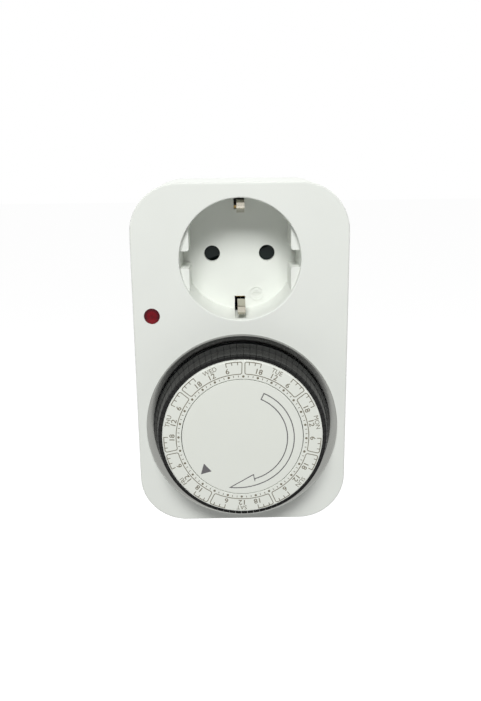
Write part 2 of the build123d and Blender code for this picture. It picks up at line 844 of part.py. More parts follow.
with BuildPart() as centre_post:
    with BuildSketch(at_depth(plate_back, 0, dial_z)):
        Circle(post_dia / 2)
    extrude(amount=plate_back - post_top)
    with BuildSketch(at_depth(plate_back + post_flange_thickness, 0, dial_z)):
        Circle(post_flange_dia / 2)
    extrude(amount=post_flange_thickness)
    with BuildSketch(at_depth(post_top + stem_length, 0, dial_z)):
        Circle(stem_dia / 2)
    extrude(amount=stem_length, mode=Mode.SUBTRACT)
    # groove for the retaining clip
    with BuildSketch(at_depth(clip_front + clip_thickness, 0, dial_z)):
        Circle(post_dia / 2 + 0.1)
        Circle(post_dia / 2 - 0.4, mode=Mode.SUBTRACT)
    extrude(amount=clip_thickness, mode=Mode.SUBTRACT)
write("centre_post", centre_post)

with BuildPart() as dial_clip:
    with BuildSketch(at_depth(clip_front + clip_thickness, 0, dial_z)):
        Circle(clip_dia / 2)
        Circle(post_dia / 2 - 0.4, mode=Mode.SUBTRACT)
        with Locations((0, -clip_dia / 4)):
            Rectangle(post_dia * 0.6, clip_dia / 2, mode=Mode.SUBTRACT)
    extrude(amount=clip_thickness)
write("dial_clip", dial_clip)

with BuildPart() as clutch_washer:
    with BuildSketch(at_depth(plate_front, 0, dial_z)):
        Circle(washer_dia / 2)
        Circle(post_dia / 2, mode=Mode.SUBTRACT)
    extrude(amount=washer_thickness)
write("clutch_washer", clutch_washer)

with BuildPart() as centre_disc:
    with BuildSketch(at_depth(disc_depth, 0, dial_z)):
        Circle(centre_disc_dia / 2)
    extrude(amount=scale_ring_thickness)
    fillet(centre_disc.faces().sort_by(Axis.Y)[0].edges(), disc_round)
    with BuildSketch(at_depth(disc_depth + stem_length, 0, dial_z)):
        Circle(stem_dia / 2)
    extrude(amount=stem_length)
write("centre_disc", centre_disc)

with BuildPart() as scale_ring:
    with BuildSketch(at_depth(disc_depth, 0, dial_z)):
        Circle(scale_ring_dia / 2)
        Circle(centre_disc_dia / 2 + disc_gap, mode=Mode.SUBTRACT)
    extrude(amount=scale_ring_thickness)
    ring_front_edges = scale_ring.faces().sort_by(Axis.Y)[0].edges().sort_by(SortBy.LENGTH)
    fillet(ring_front_edges[-1], scale_ring_round)
    fillet(ring_front_edges[0], disc_round)
write("scale_ring", scale_ring)

slot_radius = (rim_outer_dia + rim_inner_dia) / 4
slot_front = disc_depth + rim_top_band

with BuildPart() as dial_wheel:
    with BuildSketch(section_at(0, dial_z)):
        with BuildLine():
            bore = post_dia / 2 + running_clearance
            Polyline(
                (bore, hub_back),
                (hub_outer, hub_back),
                (hub_outer, web_back),
                (rim_outer_dia / 2, web_back),
                (rim_outer_dia / 2, disc_depth),
                (rim_inner_dia / 2, disc_depth),
                (rim_inner_dia / 2, web_front),
                (support_inner + 1.0, web_front),
                (support_inner + 1.0, disc_depth),
                (support_inner, disc_depth),
                (support_inner, web_front),
                (hub_outer, web_front),
                (hub_outer, hub_front),
                (bore, hub_front),
                (bore, hub_back),
            )
        make_face()
    revolve(axis=pocket_axis)
    with BuildSketch(at_depth(web_back, 0, dial_z)):
        with PolarLocations(slot_radius, tappet_count, start_angle=90 - scale_angle - tappet_step / 2):
            Rectangle(rim_thickness + 0.4, guide_width + 2 * guide_play)
    extrude(amount=web_back - slot_front, mode=Mode.SUBTRACT)
write("dial_wheel", dial_wheel)

# One tappet, lying across +X of the dial, to be turned to its place on the rim.
cap_inner = rim_outer_dia / 2 + guide_play
guide_inner = rim_inner_dia / 2 + guide_play
cap_angle = tappet_step - degrees(tappet_gap / foot_radius)
ridge_pitch = (tip_thickness + guide_play - scale_overhang - ridge_edge_gap) / ridge_count

with BuildPart() as tappet:
    with BuildSketch(Plane.XZ):
        with BuildLine():
            outline = [
                (cap_inner, -foot_depth),
                (foot_radius, -foot_depth),
                (foot_radius, -foot_depth + foot_land),
                (foot_neck_radius + 0.2, -foot_neck_depth - 0.2),
                (foot_neck_radius - 0.15, -foot_neck_depth),
                (foot_neck_radius, -foot_neck_depth + 0.15),
                (tip_radius, -tip_depth - tip_edge),
                (tip_radius - tip_edge / 2, -tip_depth),
            ]
            # the front end is a finger rest with ridges beside the scale ring
            for ridge in range(ridge_count):
                outer = tip_radius - ridge_edge_gap - ridge * ridge_pitch
                outline.append((outer, -tip_depth))
                outline.append((outer - 0.05, -tip_depth + ridge_height))
                outline.append((outer - ridge_width + 0.05, -tip_depth + ridge_height))
                outline.append((outer - ridge_width, -tip_depth))
            outline.append((cap_inner, -tip_depth))
            Polyline(*outline, close=True)
        make_face()
    revolve(axis=Axis.Z, revolution_arc=cap_angle)
cap_turned = tappet.part.rotate(Axis.Z, -cap_angle / 2)

with BuildPart() as tappet_blank:
    add(cap_turned)
    with BuildSketch(Plane.XY.offset(-guide_end)):
        with Locations(((guide_inner + cap_inner + 0.3) / 2, 0)):
            Rectangle(cap_inner + 0.3 - guide_inner, guide_width)
    extrude(amount=guide_end - slot_front - 0.2)
    # a hook behind the rim keeps the tappet in its slot
    hook_outer = rim_inner_dia / 2 - guide_play
    with BuildSketch(Plane.XY.offset(-slot_front - 0.2 - hook_length)):
        with Locations((hook_outer - hook_thickness / 2, 0)):
            Rectangle(hook_thickness, hook_width)
        with Locations((hook_outer, 0)):
            Rectangle(2 * hook_thickness, guide_width)
    extrude(amount=hook_length)


def tappet_places(numbers):
    """Where tappets of these numbers stand, counted clockwise from the first day's start."""
    face = at_depth(0, 0, dial_z).location
    return [face * Rot(Z=90 - scale_angle - (number + 0.5) * tappet_step) for number in numbers]


pointer_tappet = 52
for day, name in enumerate(("tue", "mon", "sun", "sat", "fri", "thu", "wed")):
    first = day * tappets_per_day
    numbers = [n for n in range(first, first + tappets_per_day) if n != pointer_tappet]
    with BuildPart() as day_tappets:
        with Locations(*tappet_places(numbers)):
            add(tappet_blank.part)
    write(f"tappets_{name}", day_tappets)

with BuildPart() as tappet_at_pointer:
    with Locations(*tappet_places([pointer_tappet])):
        add(tappet_blank.part)
write("tappet_at_pointer", tappet_at_pointer)

# =====================================================================================
# Gear train
# =====================================================================================


def draw_gear(teeth, module, tooth_at):
    """Draw one gear in the sketch around its origin, with the middle of a tooth at an angle."""
    pitch_radius = module * teeth / 2
    base_radius = pitch_radius * cos(radians(pressure_angle))
    tip_radius = pitch_radius + addendum_share * module
    root_radius = pitch_radius - dedendum_share * module
    flank_start = max(base_radius, root_radius)
    half_tooth = degrees((pi * module / 2 - backlash / 2) / (2 * pitch_radius))

    def half_angle(radius):
        angle = acos(min(1.0, base_radius / radius))
        pitch_involute = tan(radians(pressure_angle)) - radians(pressure_angle)
        return half_tooth + degrees(pitch_involute - (tan(angle) - angle))

    middle = (flank_start + tip_radius) / 2
    step = 360 / teeth
    with BuildLine(Plane.XY) as outline:
        for tooth in range(teeth):
            centre = tooth_at + tooth * step
            foot = half_angle(flank_start)
            rise = [polar(r, centre - half_angle(r)) for r in (flank_start, middle, tip_radius)]
            fall = [polar(r, centre + half_angle(r)) for r in (tip_radius, middle, flank_start)]
            ThreePointArc(*rise)
            ThreePointArc(rise[2], polar(tip_radius, centre), fall[0])
            ThreePointArc(*fall)
            root = [polar(root_radius, centre + angle) for angle in (foot, step / 2, step - foot)]
            if flank_start > root_radius:
                Line(fall[2], root[0])
                Line(root[2], polar(flank_start, centre + step - foot))
            ThreePointArc(*root)
    make_face(outline.edges())


day_axis = polar((ring_teeth + day_pinion_teeth) * ring_module / 2, day_arbor_angle)
day_x = day_axis[0]
day_z = dial_z + day_axis[1]
four_hour_axis = polar(
    (day_wheel_teeth + four_hour_pinion_teeth) * train_module / 2, four_hour_arbor_angle
)
four_hour_x = day_x + four_hour_axis[0]
four_hour_z = day_z + four_hour_axis[1]
motor_axis = polar(
    (four_hour_wheel_teeth + motor_pinion_teeth) * train_module / 2, motor_shaft_angle
)
shaft_x = four_hour_x + motor_axis[0]
shaft_z = four_hour_z + motor_axis[1]


with BuildPart() as ring_gear:
    with BuildSketch(at_depth(ring_gear_back, 0, dial_z)):
        draw_gear(ring_teeth, ring_module, day_arbor_angle)
        Circle(ring_gear_bore_dia / 2, mode=Mode.SUBTRACT)
    extrude(amount=ring_gear_width)
write("ring_gear", ring_gear)

pinion_front = web_back + 0.2
pinion_back = ring_gear_back + 0.2

with BuildPart() as day_gear:
    with BuildSketch(at_depth(pinion_back, day_x, day_z)):
        draw_gear(day_pinion_teeth, ring_module, day_arbor_angle + 180 + 180 / day_pinion_teeth)
    extrude(amount=pinion_back - pinion_front)
    with BuildSketch(at_depth(day_wheel_back, day_x, day_z)):
        draw_gear(day_wheel_teeth, train_module, four_hour_arbor_angle)
        with PolarLocations(day_wheel_teeth * train_module * 0.32, 5):
            Circle(2.6, mode=Mode.SUBTRACT)
    extrude(amount=wheel_width)
    for front, back, radius in (
        (pinion_back, plate_front - side_play, day_hub_dia / 2 + 0.8),
        (plate_front - side_play, plate_back + side_play, day_hub_dia / 2),
        (plate_back + side_play, day_wheel_front, day_hub_dia / 2 + 1.0),
        (day_wheel_back, bridge_front - side_play, journal_dia / 2 + 0.6),
        (bridge_front - side_play, bridge_back, journal_dia / 2),
    ):
        with BuildSketch(at_depth(back, day_x, day_z)):
            Circle(radius)
        extrude(amount=back - front)
write("day_gear", day_gear)

with BuildPart() as four_hour_gear:
    with BuildSketch(at_depth(four_hour_wheel_front, four_hour_x, four_hour_z)):
        draw_gear(
            four_hour_pinion_teeth,
            train_module,
            four_hour_arbor_angle + 180 + 180 / four_hour_pinion_teeth,
        )
    extrude(amount=four_hour_wheel_front - plate_back - 2 * side_play)
    with BuildSketch(at_depth(four_hour_wheel_back, four_hour_x, four_hour_z)):
        draw_gear(four_hour_wheel_teeth, train_module, motor_shaft_angle)
        with PolarLocations(four_hour_wheel_teeth * train_module * 0.31, 4):
            Circle(2.1, mode=Mode.SUBTRACT)
    extrude(amount=wheel_width)
    with BuildSketch(at_depth(bridge_front - 2 * side_play, four_hour_x, four_hour_z)):
        Circle(arbor_dia / 2 + 0.7)
    extrude(amount=bridge_front - 2 * side_play - four_hour_wheel_back)
    with BuildSketch(at_depth(bridge_front, four_hour_x, four_hour_z)):
        Circle(arbor_dia / 2 + running_clearance)
    extrude(amount=bridge_front - plate_back, mode=Mode.SUBTRACT)
write("four_hour_gear", four_hour_gear)

with BuildPart() as four_hour_arbor:
    with BuildSketch(at_depth(bridge_back, four_hour_x, four_hour_z)):
        Circle(arbor_dia / 2)
    extrude(amount=bridge_back - plate_front)
write("four_hour_arbor", four_hour_arbor)

motor_pinion_back = four_hour_wheel_back + 0.2
with BuildPart() as motor_pinion:
    with BuildSketch(at_depth(motor_pinion_back, shaft_x, shaft_z)):
        draw_gear(motor_pinion_teeth, train_module, motor_shaft_angle + 180 + 180 / motor_pinion_teeth)
    extrude(amount=wheel_width + 0.4)
    with BuildSketch(at_depth(gearbox_back - 1.5, shaft_x, shaft_z)):
        Circle(motor_shaft_dia / 2)
    extrude(amount=gearbox_back - 1.5 - motor_pinion_back)
write("motor_pinion", motor_pinion)

# =====================================================================================
# Switch lever and switch
# =====================================================================================

pointer_angle = 90 - scale_angle - (pointer_tappet + 0.5) * tappet_step
nose_x = polar(slot_radius, pointer_angle)[0]
nose_z = dial_z + polar(slot_radius, pointer_angle)[1]
nose_front = guide_end + nose_rest_gap
lever_x = nose_x + nose_arm
lever_axis_depth = plate_back + lever_behind_plate
lever_front = plate_back + lever_gap
lever_back = lever_front + lever_thickness
plunger_x = lever_x - plunger_arm
plunger_top = lever_back + plunger_gap
switch_x = plunger_x - switch_shift
switch_front = lever_back + switch_behind_lever
switch_back = switch_front + switch_height
lever_section = Plane(origin=(0, -face_distance, nose_z), x_dir=(1, 0, 0), z_dir=(0, 0, 1))

with BuildPart() as switch_lever:
    with BuildSketch(lever_section):
        with Locations(((lever_x + nose_x - 1.2) / 2, (lever_front + lever_back) / 2)):
            Rectangle(nose_arm + 1.2, lever_thickness)
        with Locations((lever_x, lever_axis_depth)):
            Circle(lever_pin_dia / 2 + 0.9)
            Circle(lever_pin_dia / 2 + running_clearance, mode=Mode.SUBTRACT)
    extrude(amount=lever_width / 2, both=True)
    with BuildSketch(at_depth(lever_front + 0.3, nose_x, nose_z)):
        Circle(nose_dia / 2)
    extrude(amount=lever_front + 0.3 - nose_front)
    fillet(switch_lever.faces().sort_by(Axis.Y)[0].edges(), nose_dia * 0.3)
write("switch_lever", switch_lever)

ear_outer = lever_width / 2 + side_play + ear_thickness
with BuildPart() as lever_pin:
    with BuildSketch(lever_section):
        with Locations((lever_x, lever_axis_depth)):
            Circle(lever_pin_dia / 2)
    extrude(amount=ear_outer + 0.4, both=True)
write("lever_pin", lever_pin)

bore_depth = switch_front + 3.0 + plunger_stroke
with BuildPart() as switch_case:
    with BuildSketch(at_depth(switch_back)):
        with Locations((switch_x, nose_z)):
            Rectangle(switch_length, switch_width)
    extrude(amount=switch_height)
    chamfer(switch_case.edges().filter_by(Axis.Y), 0.4)
    # the seam between the case's two halves and the moulded mounting holes
    with BuildSketch(Plane.XY.offset(nose_z + switch_width / 2)):
        with Locations(
            (switch_x - switch_length / 2 + 3.2, switch_back - 2.6 - face_distance),
            (switch_x + switch_length / 2 - 3.2, switch_back - 2.6 - face_distance),
        ):
            Circle(1.2)
    extrude(amount=-switch_width, mode=Mode.SUBTRACT)
    with BuildSketch(at_depth(bore_depth + 0.2, plunger_x, nose_z)):
        Circle(plunger_dia / 2 + running_clearance)
    extrude(amount=bore_depth + 0.2 - switch_front, mode=Mode.SUBTRACT)
write("switch_case", switch_case)

with BuildPart() as switch_plunger:
    with BuildSketch(at_depth(bore_depth - plunger_stroke, plunger_x, nose_z)):
        Circle(plunger_dia / 2)
    extrude(amount=bore_depth - plunger_stroke - plunger_top)
    fillet(switch_plunger.faces().sort_by(Axis.Y)[0].edges(), plunger_dia * 0.3)
write("switch_plunger", switch_plunger)

with BuildPart() as switch_terminals:
    with BuildSketch(at_depth(switch_back + terminal_length)):
        with Locations((switch_x, nose_z)):
            with GridLocations(terminal_pitch, 0, 3, 1):
                Rectangle(terminal_width, terminal_thickness)
    extrude(amount=terminal_length)
write("switch_terminals", switch_terminals)

# =====================================================================================
# Movement plate, bridge and their screws
# =====================================================================================

cradle_x = switch_x + cradle_shift
rib_inner = lever_width / 2 + 0.4
rib_outer = switch_width / 2 + side_play / 2 + cradle_wall

with BuildPart() as movement_plate:
    with BuildSketch(at_depth(plate_back)):
        with Locations((0, dial_z)):
            Circle(plate_radius)
        with Locations(*plate_screws_at):
            Circle(plate_pad_dia / 2)
        with Locations((0, case_middle_z)):
            plate_inset = front_wall + plate_wall_gap
            RectangleRounded(
                case_width - 2 * plate_inset,
                case_height - 2 * plate_inset,
                case_corner - plate_inset,
                mode=Mode.INTERSECT,
            )
        with Locations((0, dial_z)):
            Circle(post_dia / 2, mode=Mode.SUBTRACT)
        with Locations(*plate_screws_at):
            Circle(plate_screw_dia / 2 + screw_clearance / 2, mode=Mode.SUBTRACT)
        with Locations((day_x, day_z)):
            Circle(day_hub_dia / 2 + running_clearance, mode=Mode.SUBTRACT)
        with Locations((four_hour_x, four_hour_z)):
            Circle(arbor_dia / 2, mode=Mode.SUBTRACT)
        with Locations((nose_x - 0.35, nose_z)):
            SlotOverall(nose_dia + 2.0, nose_dia + 0.8, mode=Mode.SUBTRACT)
    extrude(amount=plate_thickness)
    with BuildSketch(at_depth(bridge_front)):
        with Locations(*bridge_posts):
            Circle(bridge_post_dia / 2)
            Circle(bridge_screw_dia / 2, mode=Mode.SUBTRACT)
    extrude(amount=bridge_gap)
    # cradle that holds the switch by its sides, with a ledge under its front
    for back, inner in ((switch_front, rib_inner), (switch_front + cradle_height, rib_outer - cradle_wall)):
        with BuildSketch(at_depth(back)):
            with Locations((cradle_x, nose_z)):
                with GridLocations(0, inner + rib_outer, 1, 2):
                    Rectangle(cradle_length, rib_outer - inner)
        extrude(amount=back - plate_back)
    # ears that carry the lever's pin
    with BuildSketch(lever_section.offset(-ear_outer)) as ear:
        with Locations((lever_x, (plate_back + lever_axis_depth) / 2)):
            Rectangle(lever_pin_dia + 2.0, lever_axis_depth - plate_back)
        with Locations((lever_x, lever_axis_depth)):
            Circle(lever_pin_dia / 2 + 1.0)
            Circle(lever_pin_dia / 2, mode=Mode.SUBTRACT)
    extrude(amount=ear_thickness)
    with BuildSketch(lever_section.offset(ear_outer - ear_thickness)):
        add(ear.sketch_local)
    extrude(amount=ear_thickness)
write("movement_plate", movement_plate)

with BuildPart() as plate_screws:
    with BuildSketch(at_depth(plate_back)):
        with Locations(*plate_screws_at):
            Circle(plate_screw_dia / 2)
    extrude(amount=plate_screw_length)
    with BuildSketch(at_depth(plate_back + plate_screw_head_height)):
        with Locations(*plate_screws_at):
            Circle(plate_screw_head_dia / 2)
    extrude(amount=plate_screw_head_height)
    with BuildSketch(at_depth(plate_back + plate_screw_head_height)):
        with Locations(*plate_screws_at):
            Rectangle(plate_screw_head_dia * 0.62, 0.6)
            Rectangle(0.6, plate_screw_head_dia * 0.62)
    extrude(amount=0.7, mode=Mode.SUBTRACT)
write("plate_screws", plate_screws)

with BuildPart() as bridge_plate:
    with BuildSketch(at_depth(bridge_back)):
        with Locations(*bridge_posts):
            Circle(bridge_rim)
        with Locations((motor_x, motor_z)):
            Circle(motor_dia / 2 - 1.5)
        with Locations((day_x, day_z)):
            Circle(bridge_rim)
        with Locations((four_hour_x, four_hour_z)):
            Circle(bridge_rim)
        make_hull()
        with Locations((day_x, day_z)):
            Circle(journal_dia / 2 + running_clearance, mode=Mode.SUBTRACT)
        with Locations((four_hour_x, four_hour_z)):
            Circle(arbor_dia / 2, mode=Mode.SUBTRACT)
        with Locations((shaft_x, shaft_z)):
            Circle(motor_shaft_dia / 2 + 0.4, mode=Mode.SUBTRACT)
        with Locations(*bridge_posts):
            Circle(bridge_screw_dia / 2 + screw_clearance / 2, mode=Mode.SUBTRACT)
        with Locations(*motor_screws):
            Circle(motor_screw_dia / 2 + screw_clearance / 2, mode=Mode.SUBTRACT)
    extrude(amount=bridge_thickness)
write("bridge_plate", bridge_plate)

with BuildPart() as bridge_screws:
    with BuildSketch(at_depth(bridge_back)):
        with Locations(*bridge_posts):
            Circle(bridge_screw_dia / 2)
    extrude(amount=bridge_screw_length)
    with BuildSketch(at_depth(bridge_back + bridge_screw_head_height)):
        with Locations(*bridge_posts):
            Circle(bridge_screw_head_dia / 2)
    extrude(amount=bridge_screw_head_height)
    with BuildSketch(at_depth(bridge_back + bridge_screw_head_height)):
        with Locations(*bridge_posts):
            Rectangle(bridge_screw_head_dia * 0.62, 0.6)
            Rectangle(0.6, bridge_screw_head_dia * 0.62)
    extrude(amount=0.8, mode=Mode.SUBTRACT)
write("bridge_screws", bridge_screws)

# =====================================================================================
# Motor
# =====================================================================================

with BuildPart() as gearbox_case:
    with BuildSketch(at_depth(gearbox_back, motor_x, motor_z)):
        Circle(motor_dia / 2)
    extrude(amount=gearbox_length)
    with BuildSketch(at_depth(gearbox_back, motor_x, motor_z)):
        Circle(motor_dia / 2 - gearbox_wall)
    extrude(amount=gearbox_length - gearbox_wall, mode=Mode.SUBTRACT)
    with BuildSketch(at_depth(bridge_back + 3.0)):
        with Locations(*motor_screws):
            Circle(motor_screw_dia / 2 + 1.0)
        with Locations((shaft_x, shaft_z)):
            Circle(motor_shaft_dia / 2 + 1.2)
    extrude(amount=3.0)
    with BuildSketch(at_depth(bridge_back + 3.0)):
        with Locations(*motor_screws):
            Circle(motor_screw_dia / 2)
        with Locations((shaft_x, shaft_z)):
            Circle(motor_shaft_dia / 2 + running_clearance)
    extrude(amount=3.0, mode=Mode.SUBTRACT)
write("gearbox_case", gearbox_case)

with BuildPart() as motor_screw_pair:
    with BuildSketch(at_depth(bridge_back + 2.8)):
        with Locations(*motor_screws):
            Circle(motor_screw_dia / 2)
    extrude(amount=2.8 + bridge_thickness)
    with BuildSketch(at_depth(bridge_front)):
        with Locations(*motor_screws):
            Circle(motor_screw_head_dia / 2)
    extrude(amount=motor_screw_head_height)
    with BuildSketch(at_depth(bridge_front - motor_screw_head_height + 0.5)):
        with Locations(*motor_screws):
            Rectangle(motor_screw_head_dia, 0.6)
    extrude(amount=0.5, mode=Mode.SUBTRACT)
write("motor_screws", motor_screw_pair)

shaft_hole = rotor_shaft_dia / 2 + running_clearance
with BuildPart() as motor_cover:
    with BuildSketch(at_depth(can_front, motor_x, motor_z)):
        Circle(motor_dia / 2)
        Circle(shaft_hole, mode=Mode.SUBTRACT)
    extrude(amount=motor_cover_thickness)
write("motor_cover", motor_cover)

with BuildPart() as motor_can:
    with BuildSketch(at_depth(can_back, motor_x, motor_z)):
        Circle(motor_dia / 2)
    extrude(amount=motor_can_length)
    fillet(motor_can.faces().sort_by(Axis.Y)[-1].edges(), 0.7)
    with BuildSketch(at_depth(can_back - motor_can_wall, motor_x, motor_z)):
        Circle(motor_dia / 2 - motor_can_wall)
    extrude(amount=motor_can_length - motor_can_wall, mode=Mode.SUBTRACT)
    with BuildSketch(at_depth(can_back, motor_x, motor_z)):
        Circle(shaft_hole)
    extrude(amount=motor_can_wall, mode=Mode.SUBTRACT)
    # notch for the coil's two leads
    with BuildSketch(at_depth(can_front + 3.0, motor_x - motor_dia / 2, motor_z + 5.0)):
        Rectangle(5.0, 5.0)
    extrude(amount=3.0, mode=Mode.SUBTRACT)
write("motor_can", motor_can)

claw_outer = claw_inner_dia / 2 + claw_thickness
claw_back = can_front + claw_thickness
cavity_back = can_back - motor_can_wall
can_inner = motor_dia / 2 - motor_can_wall
with BuildPart() as claw_poles:
    with BuildSketch(at_depth(claw_back, motor_x, motor_z)):
        Circle(can_inner - 0.1)
        Circle(claw_inner_dia / 2, mode=Mode.SUBTRACT)
    extrude(amount=claw_thickness)
    with BuildSketch(at_depth(cavity_back - 2.0, motor_x, motor_z)):
        Circle(claw_outer)
        Circle(claw_inner_dia / 2, mode=Mode.SUBTRACT)
        with PolarLocations(0, claw_count):
            with Locations((claw_outer, 0)):
                Rectangle(2 * claw_thickness + 2.0, 3.0, mode=Mode.SUBTRACT)
    extrude(amount=cavity_back - 2.0 - claw_back)
write("claw_poles", claw_poles)

hub_inner = claw_outer + 0.1
bobbin_radius = can_inner - 0.3
with BuildPart() as coil_bobbin:
    with BuildSketch(at_depth(cavity_back, motor_x, motor_z)):
        Circle(hub_inner + bobbin_hub_wall)
        Circle(hub_inner, mode=Mode.SUBTRACT)
    extrude(amount=cavity_back - claw_back)
    for back in (cavity_back, claw_back + bobbin_flange):
        with BuildSketch(at_depth(back, motor_x, motor_z)):
            Circle(bobbin_radius)
            Circle(hub_inner, mode=Mode.SUBTRACT)
        extrude(amount=bobbin_flange)
write("coil_bobbin", coil_bobbin)

with BuildPart() as coil_winding:
    with BuildSketch(at_depth(cavity_back - bobbin_flange, motor_x, motor_z)):
        Circle(bobbin_radius - winding_below_flange)
        Circle(hub_inner + bobbin_hub_wall, mode=Mode.SUBTRACT)
    extrude(amount=cavity_back - claw_back - 2 * bobbin_flange)
write("coil_winding", coil_winding)

rotor_front = can_front + rotor_end_gap
rotor_length = cavity_back - can_front - 2 * rotor_end_gap
with BuildPart() as rotor:
    with BuildSketch(at_depth(rotor_front + rotor_length, motor_x, motor_z)):
        Circle(rotor_dia / 2)
    extrude(amount=rotor_length)
    chamfer(rotor.edges().filter_by(GeomType.CIRCLE), 0.4)
    with BuildSketch(at_depth(can_back - 0.3, motor_x, motor_z)):
        Circle(rotor_shaft_dia / 2)
    extrude(amount=can_back - 0.3 - gearbox_back + 2.0)
write("rotor", rotor)

# =====================================================================================
# Bars to and from the switch
# =====================================================================================

line_x = -pin_spacing / 2
common_x = switch_x - terminal_pitch
line_bar_depth = rear_inside - 2.0
leg_z = -(boss_dia / 2 - boss_wall - 5.1)
bar_step = line_x - common_x

with BuildPart() as line_bar:
    with BuildSketch(at_depth(bar_seat)):
        with Locations((line_x, (leg_z + 2.6) / 2)):
            Rectangle(bar_width, 2.6 - leg_z)
        with Locations((line_x, 0)):
            Circle(pin_tail_dia / 2, mode=Mode.SUBTRACT)
    extrude(amount=sheet)
    with BuildSketch(at_depth(bar_seat)):
        with Locations((line_x, leg_z + sheet / 2)):
            Rectangle(bar_width, sheet)
    extrude(amount=bar_seat - line_bar_depth + sheet)
    with BuildSketch(at_depth(line_bar_depth)):
        half = bar_width / 2
        with BuildLine():
            Polyline(
                (line_x + half, leg_z + sheet),
                (line_x - half, leg_z + sheet),
                (line_x - half, leg_z - 6.0),
                (common_x - half, leg_z - 6.0 - bar_step),
                (common_x - half, nose_z + terminal_thickness / 2),
                (common_x + half, nose_z + terminal_thickness / 2),
                (common_x + half, leg_z - 7.6 - bar_step),
                (line_x + half, leg_z - 7.6),
                (line_x + half, leg_z + sheet),
            )
        make_face()
    extrude(amount=sheet)
    with BuildSketch(at_depth(line_bar_depth)):
        with Locations((common_x, nose_z + (terminal_thickness + sheet) / 2)):
            Rectangle(bar_width, sheet)
    extrude(amount=line_bar_depth - switch_back - 1.2)
write("line_bar", line_bar)

contact_side = line_x - contact_outer
with BuildPart() as switched_bar:
    with BuildSketch(at_depth(contact_end)):
        with Locations((contact_side - sheet / 2, 0)):
            Rectangle(sheet, bar_width)
    extrude(amount=contact_end - rear_inside + sheet)
    with BuildSketch(at_depth(rear_inside)):
        with BuildLine():
            Polyline(
                (contact_side, half),
                (switch_x - half, half),
                (switch_x - half, nose_z + terminal_thickness / 2),
                (switch_x + half, nose_z + terminal_thickness / 2),
                (switch_x + half, -half),
                (contact_side, -half),
                (contact_side, half),
            )
        make_face()
    extrude(amount=sheet)
    with BuildSketch(at_depth(rear_inside)):
        with Locations((switch_x, nose_z + (terminal_thickness + sheet) / 2)):
            Rectangle(bar_width, sheet)
    extrude(amount=rear_inside - switch_back - 1.2)
write("switched_bar", switched_bar)

# Each lead wire is a run of points, X, Z and depth, with the way it leaves and the way it arrives.
bulb_end = bulb_front + bulb_length
lead_end = resistor_front + resistor_length + lead_length
touch_gap = 0.1
neutral_side = sleeve_side + sheet / 2
below_neutral = -(bar_width + wire_dia) / 2 - touch_gap
motor_side = motor_x - motor_dia / 2
tap_x = switch_x - 1.0
feed_x = common_x + 0.8
to_back = (0, 1, 0)
to_left = (-1, 0, 0)
to_top = (0, 0, 1)

lamp_return_run = (
    (lamp_x + 1.1, lamp_z, bulb_end + touch_gap),
    (lamp_x + 1.9, lamp_z - 0.5, resistor_front + 0.6),
    (lamp_x + 3.4, lamp_z - 1.6, resistor_front + resistor_length),
    (lamp_x + 11.4, lamp_z - 3.3, rear_inside - 7.5),
    (0.0, lamp_z - 2.3, rear_inside - 5.0),
    (neutral_side - 4.0, lamp_z + 4.0, rear_inside - 2.2),
    (neutral_side - 2.2, -10.0, contact_end - 0.6),
    (neutral_side - 0.7, -6.0, contact_end + 2.8),
    (neutral_side, below_neutral, contact_end + 4.2),
)
lamp_feed_run = (
    (lamp_x, lamp_z, lead_end + touch_gap),
    (lamp_x + 4.0, lamp_z + 1.5, rear_inside - 7.0),
    (tap_x, lamp_z + 3.3, rear_inside - sheet - touch_gap),
)
motor_return_run = (
    (motor_side + 0.4, motor_z + 6.0, can_front + 1.6),
    (motor_side - 3.5, motor_z + 15.0, can_front + 3.5),
    (-2.0, lamp_z - 7.7, rear_inside - 7.0),
    (neutral_side - 3.5, lamp_z + 1.6, rear_inside - 5.2),
    (neutral_side - 0.6, -8.4, rear_inside - 2.4),
    (neutral_side, below_neutral, contact_end + 0.4),
)
motor_feed_run = (
    (motor_side + 0.2, motor_z + 4.0, can_front + 1.6),
    ((motor_side + feed_x) / 2, motor_z + 5.0, can_front + 5.5),
    (feed_x, motor_z + 6.0, line_bar_depth - sheet - touch_gap),
)

wires = []
for run, leaves, arrives in (
    (lamp_return_run, to_back, to_top),
    (lamp_feed_run, to_back, to_back),
    (motor_return_run, to_left, to_top),
    (motor_feed_run, to_left, to_back),
):
    with BuildPart() as wire:
        with BuildLine() as route:
            points = [(x, depth - face_distance, z) for x, z, depth in run]
            Spline(*points, tangents=(leaves, arrives))
        with BuildSketch(Plane(origin=route.line @ 0, z_dir=route.line % 0)):
            Circle(wire_dia / 2)
        sweep()
    wires += wire.solids()
lead_wires = Compound(wires, label="lead_wires")
export_step(lead_wires, "parts/lead_wires.step")
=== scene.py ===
import bpy
import json
from math import cos, pi, radians, sin
from mathutils import Matrix, Vector


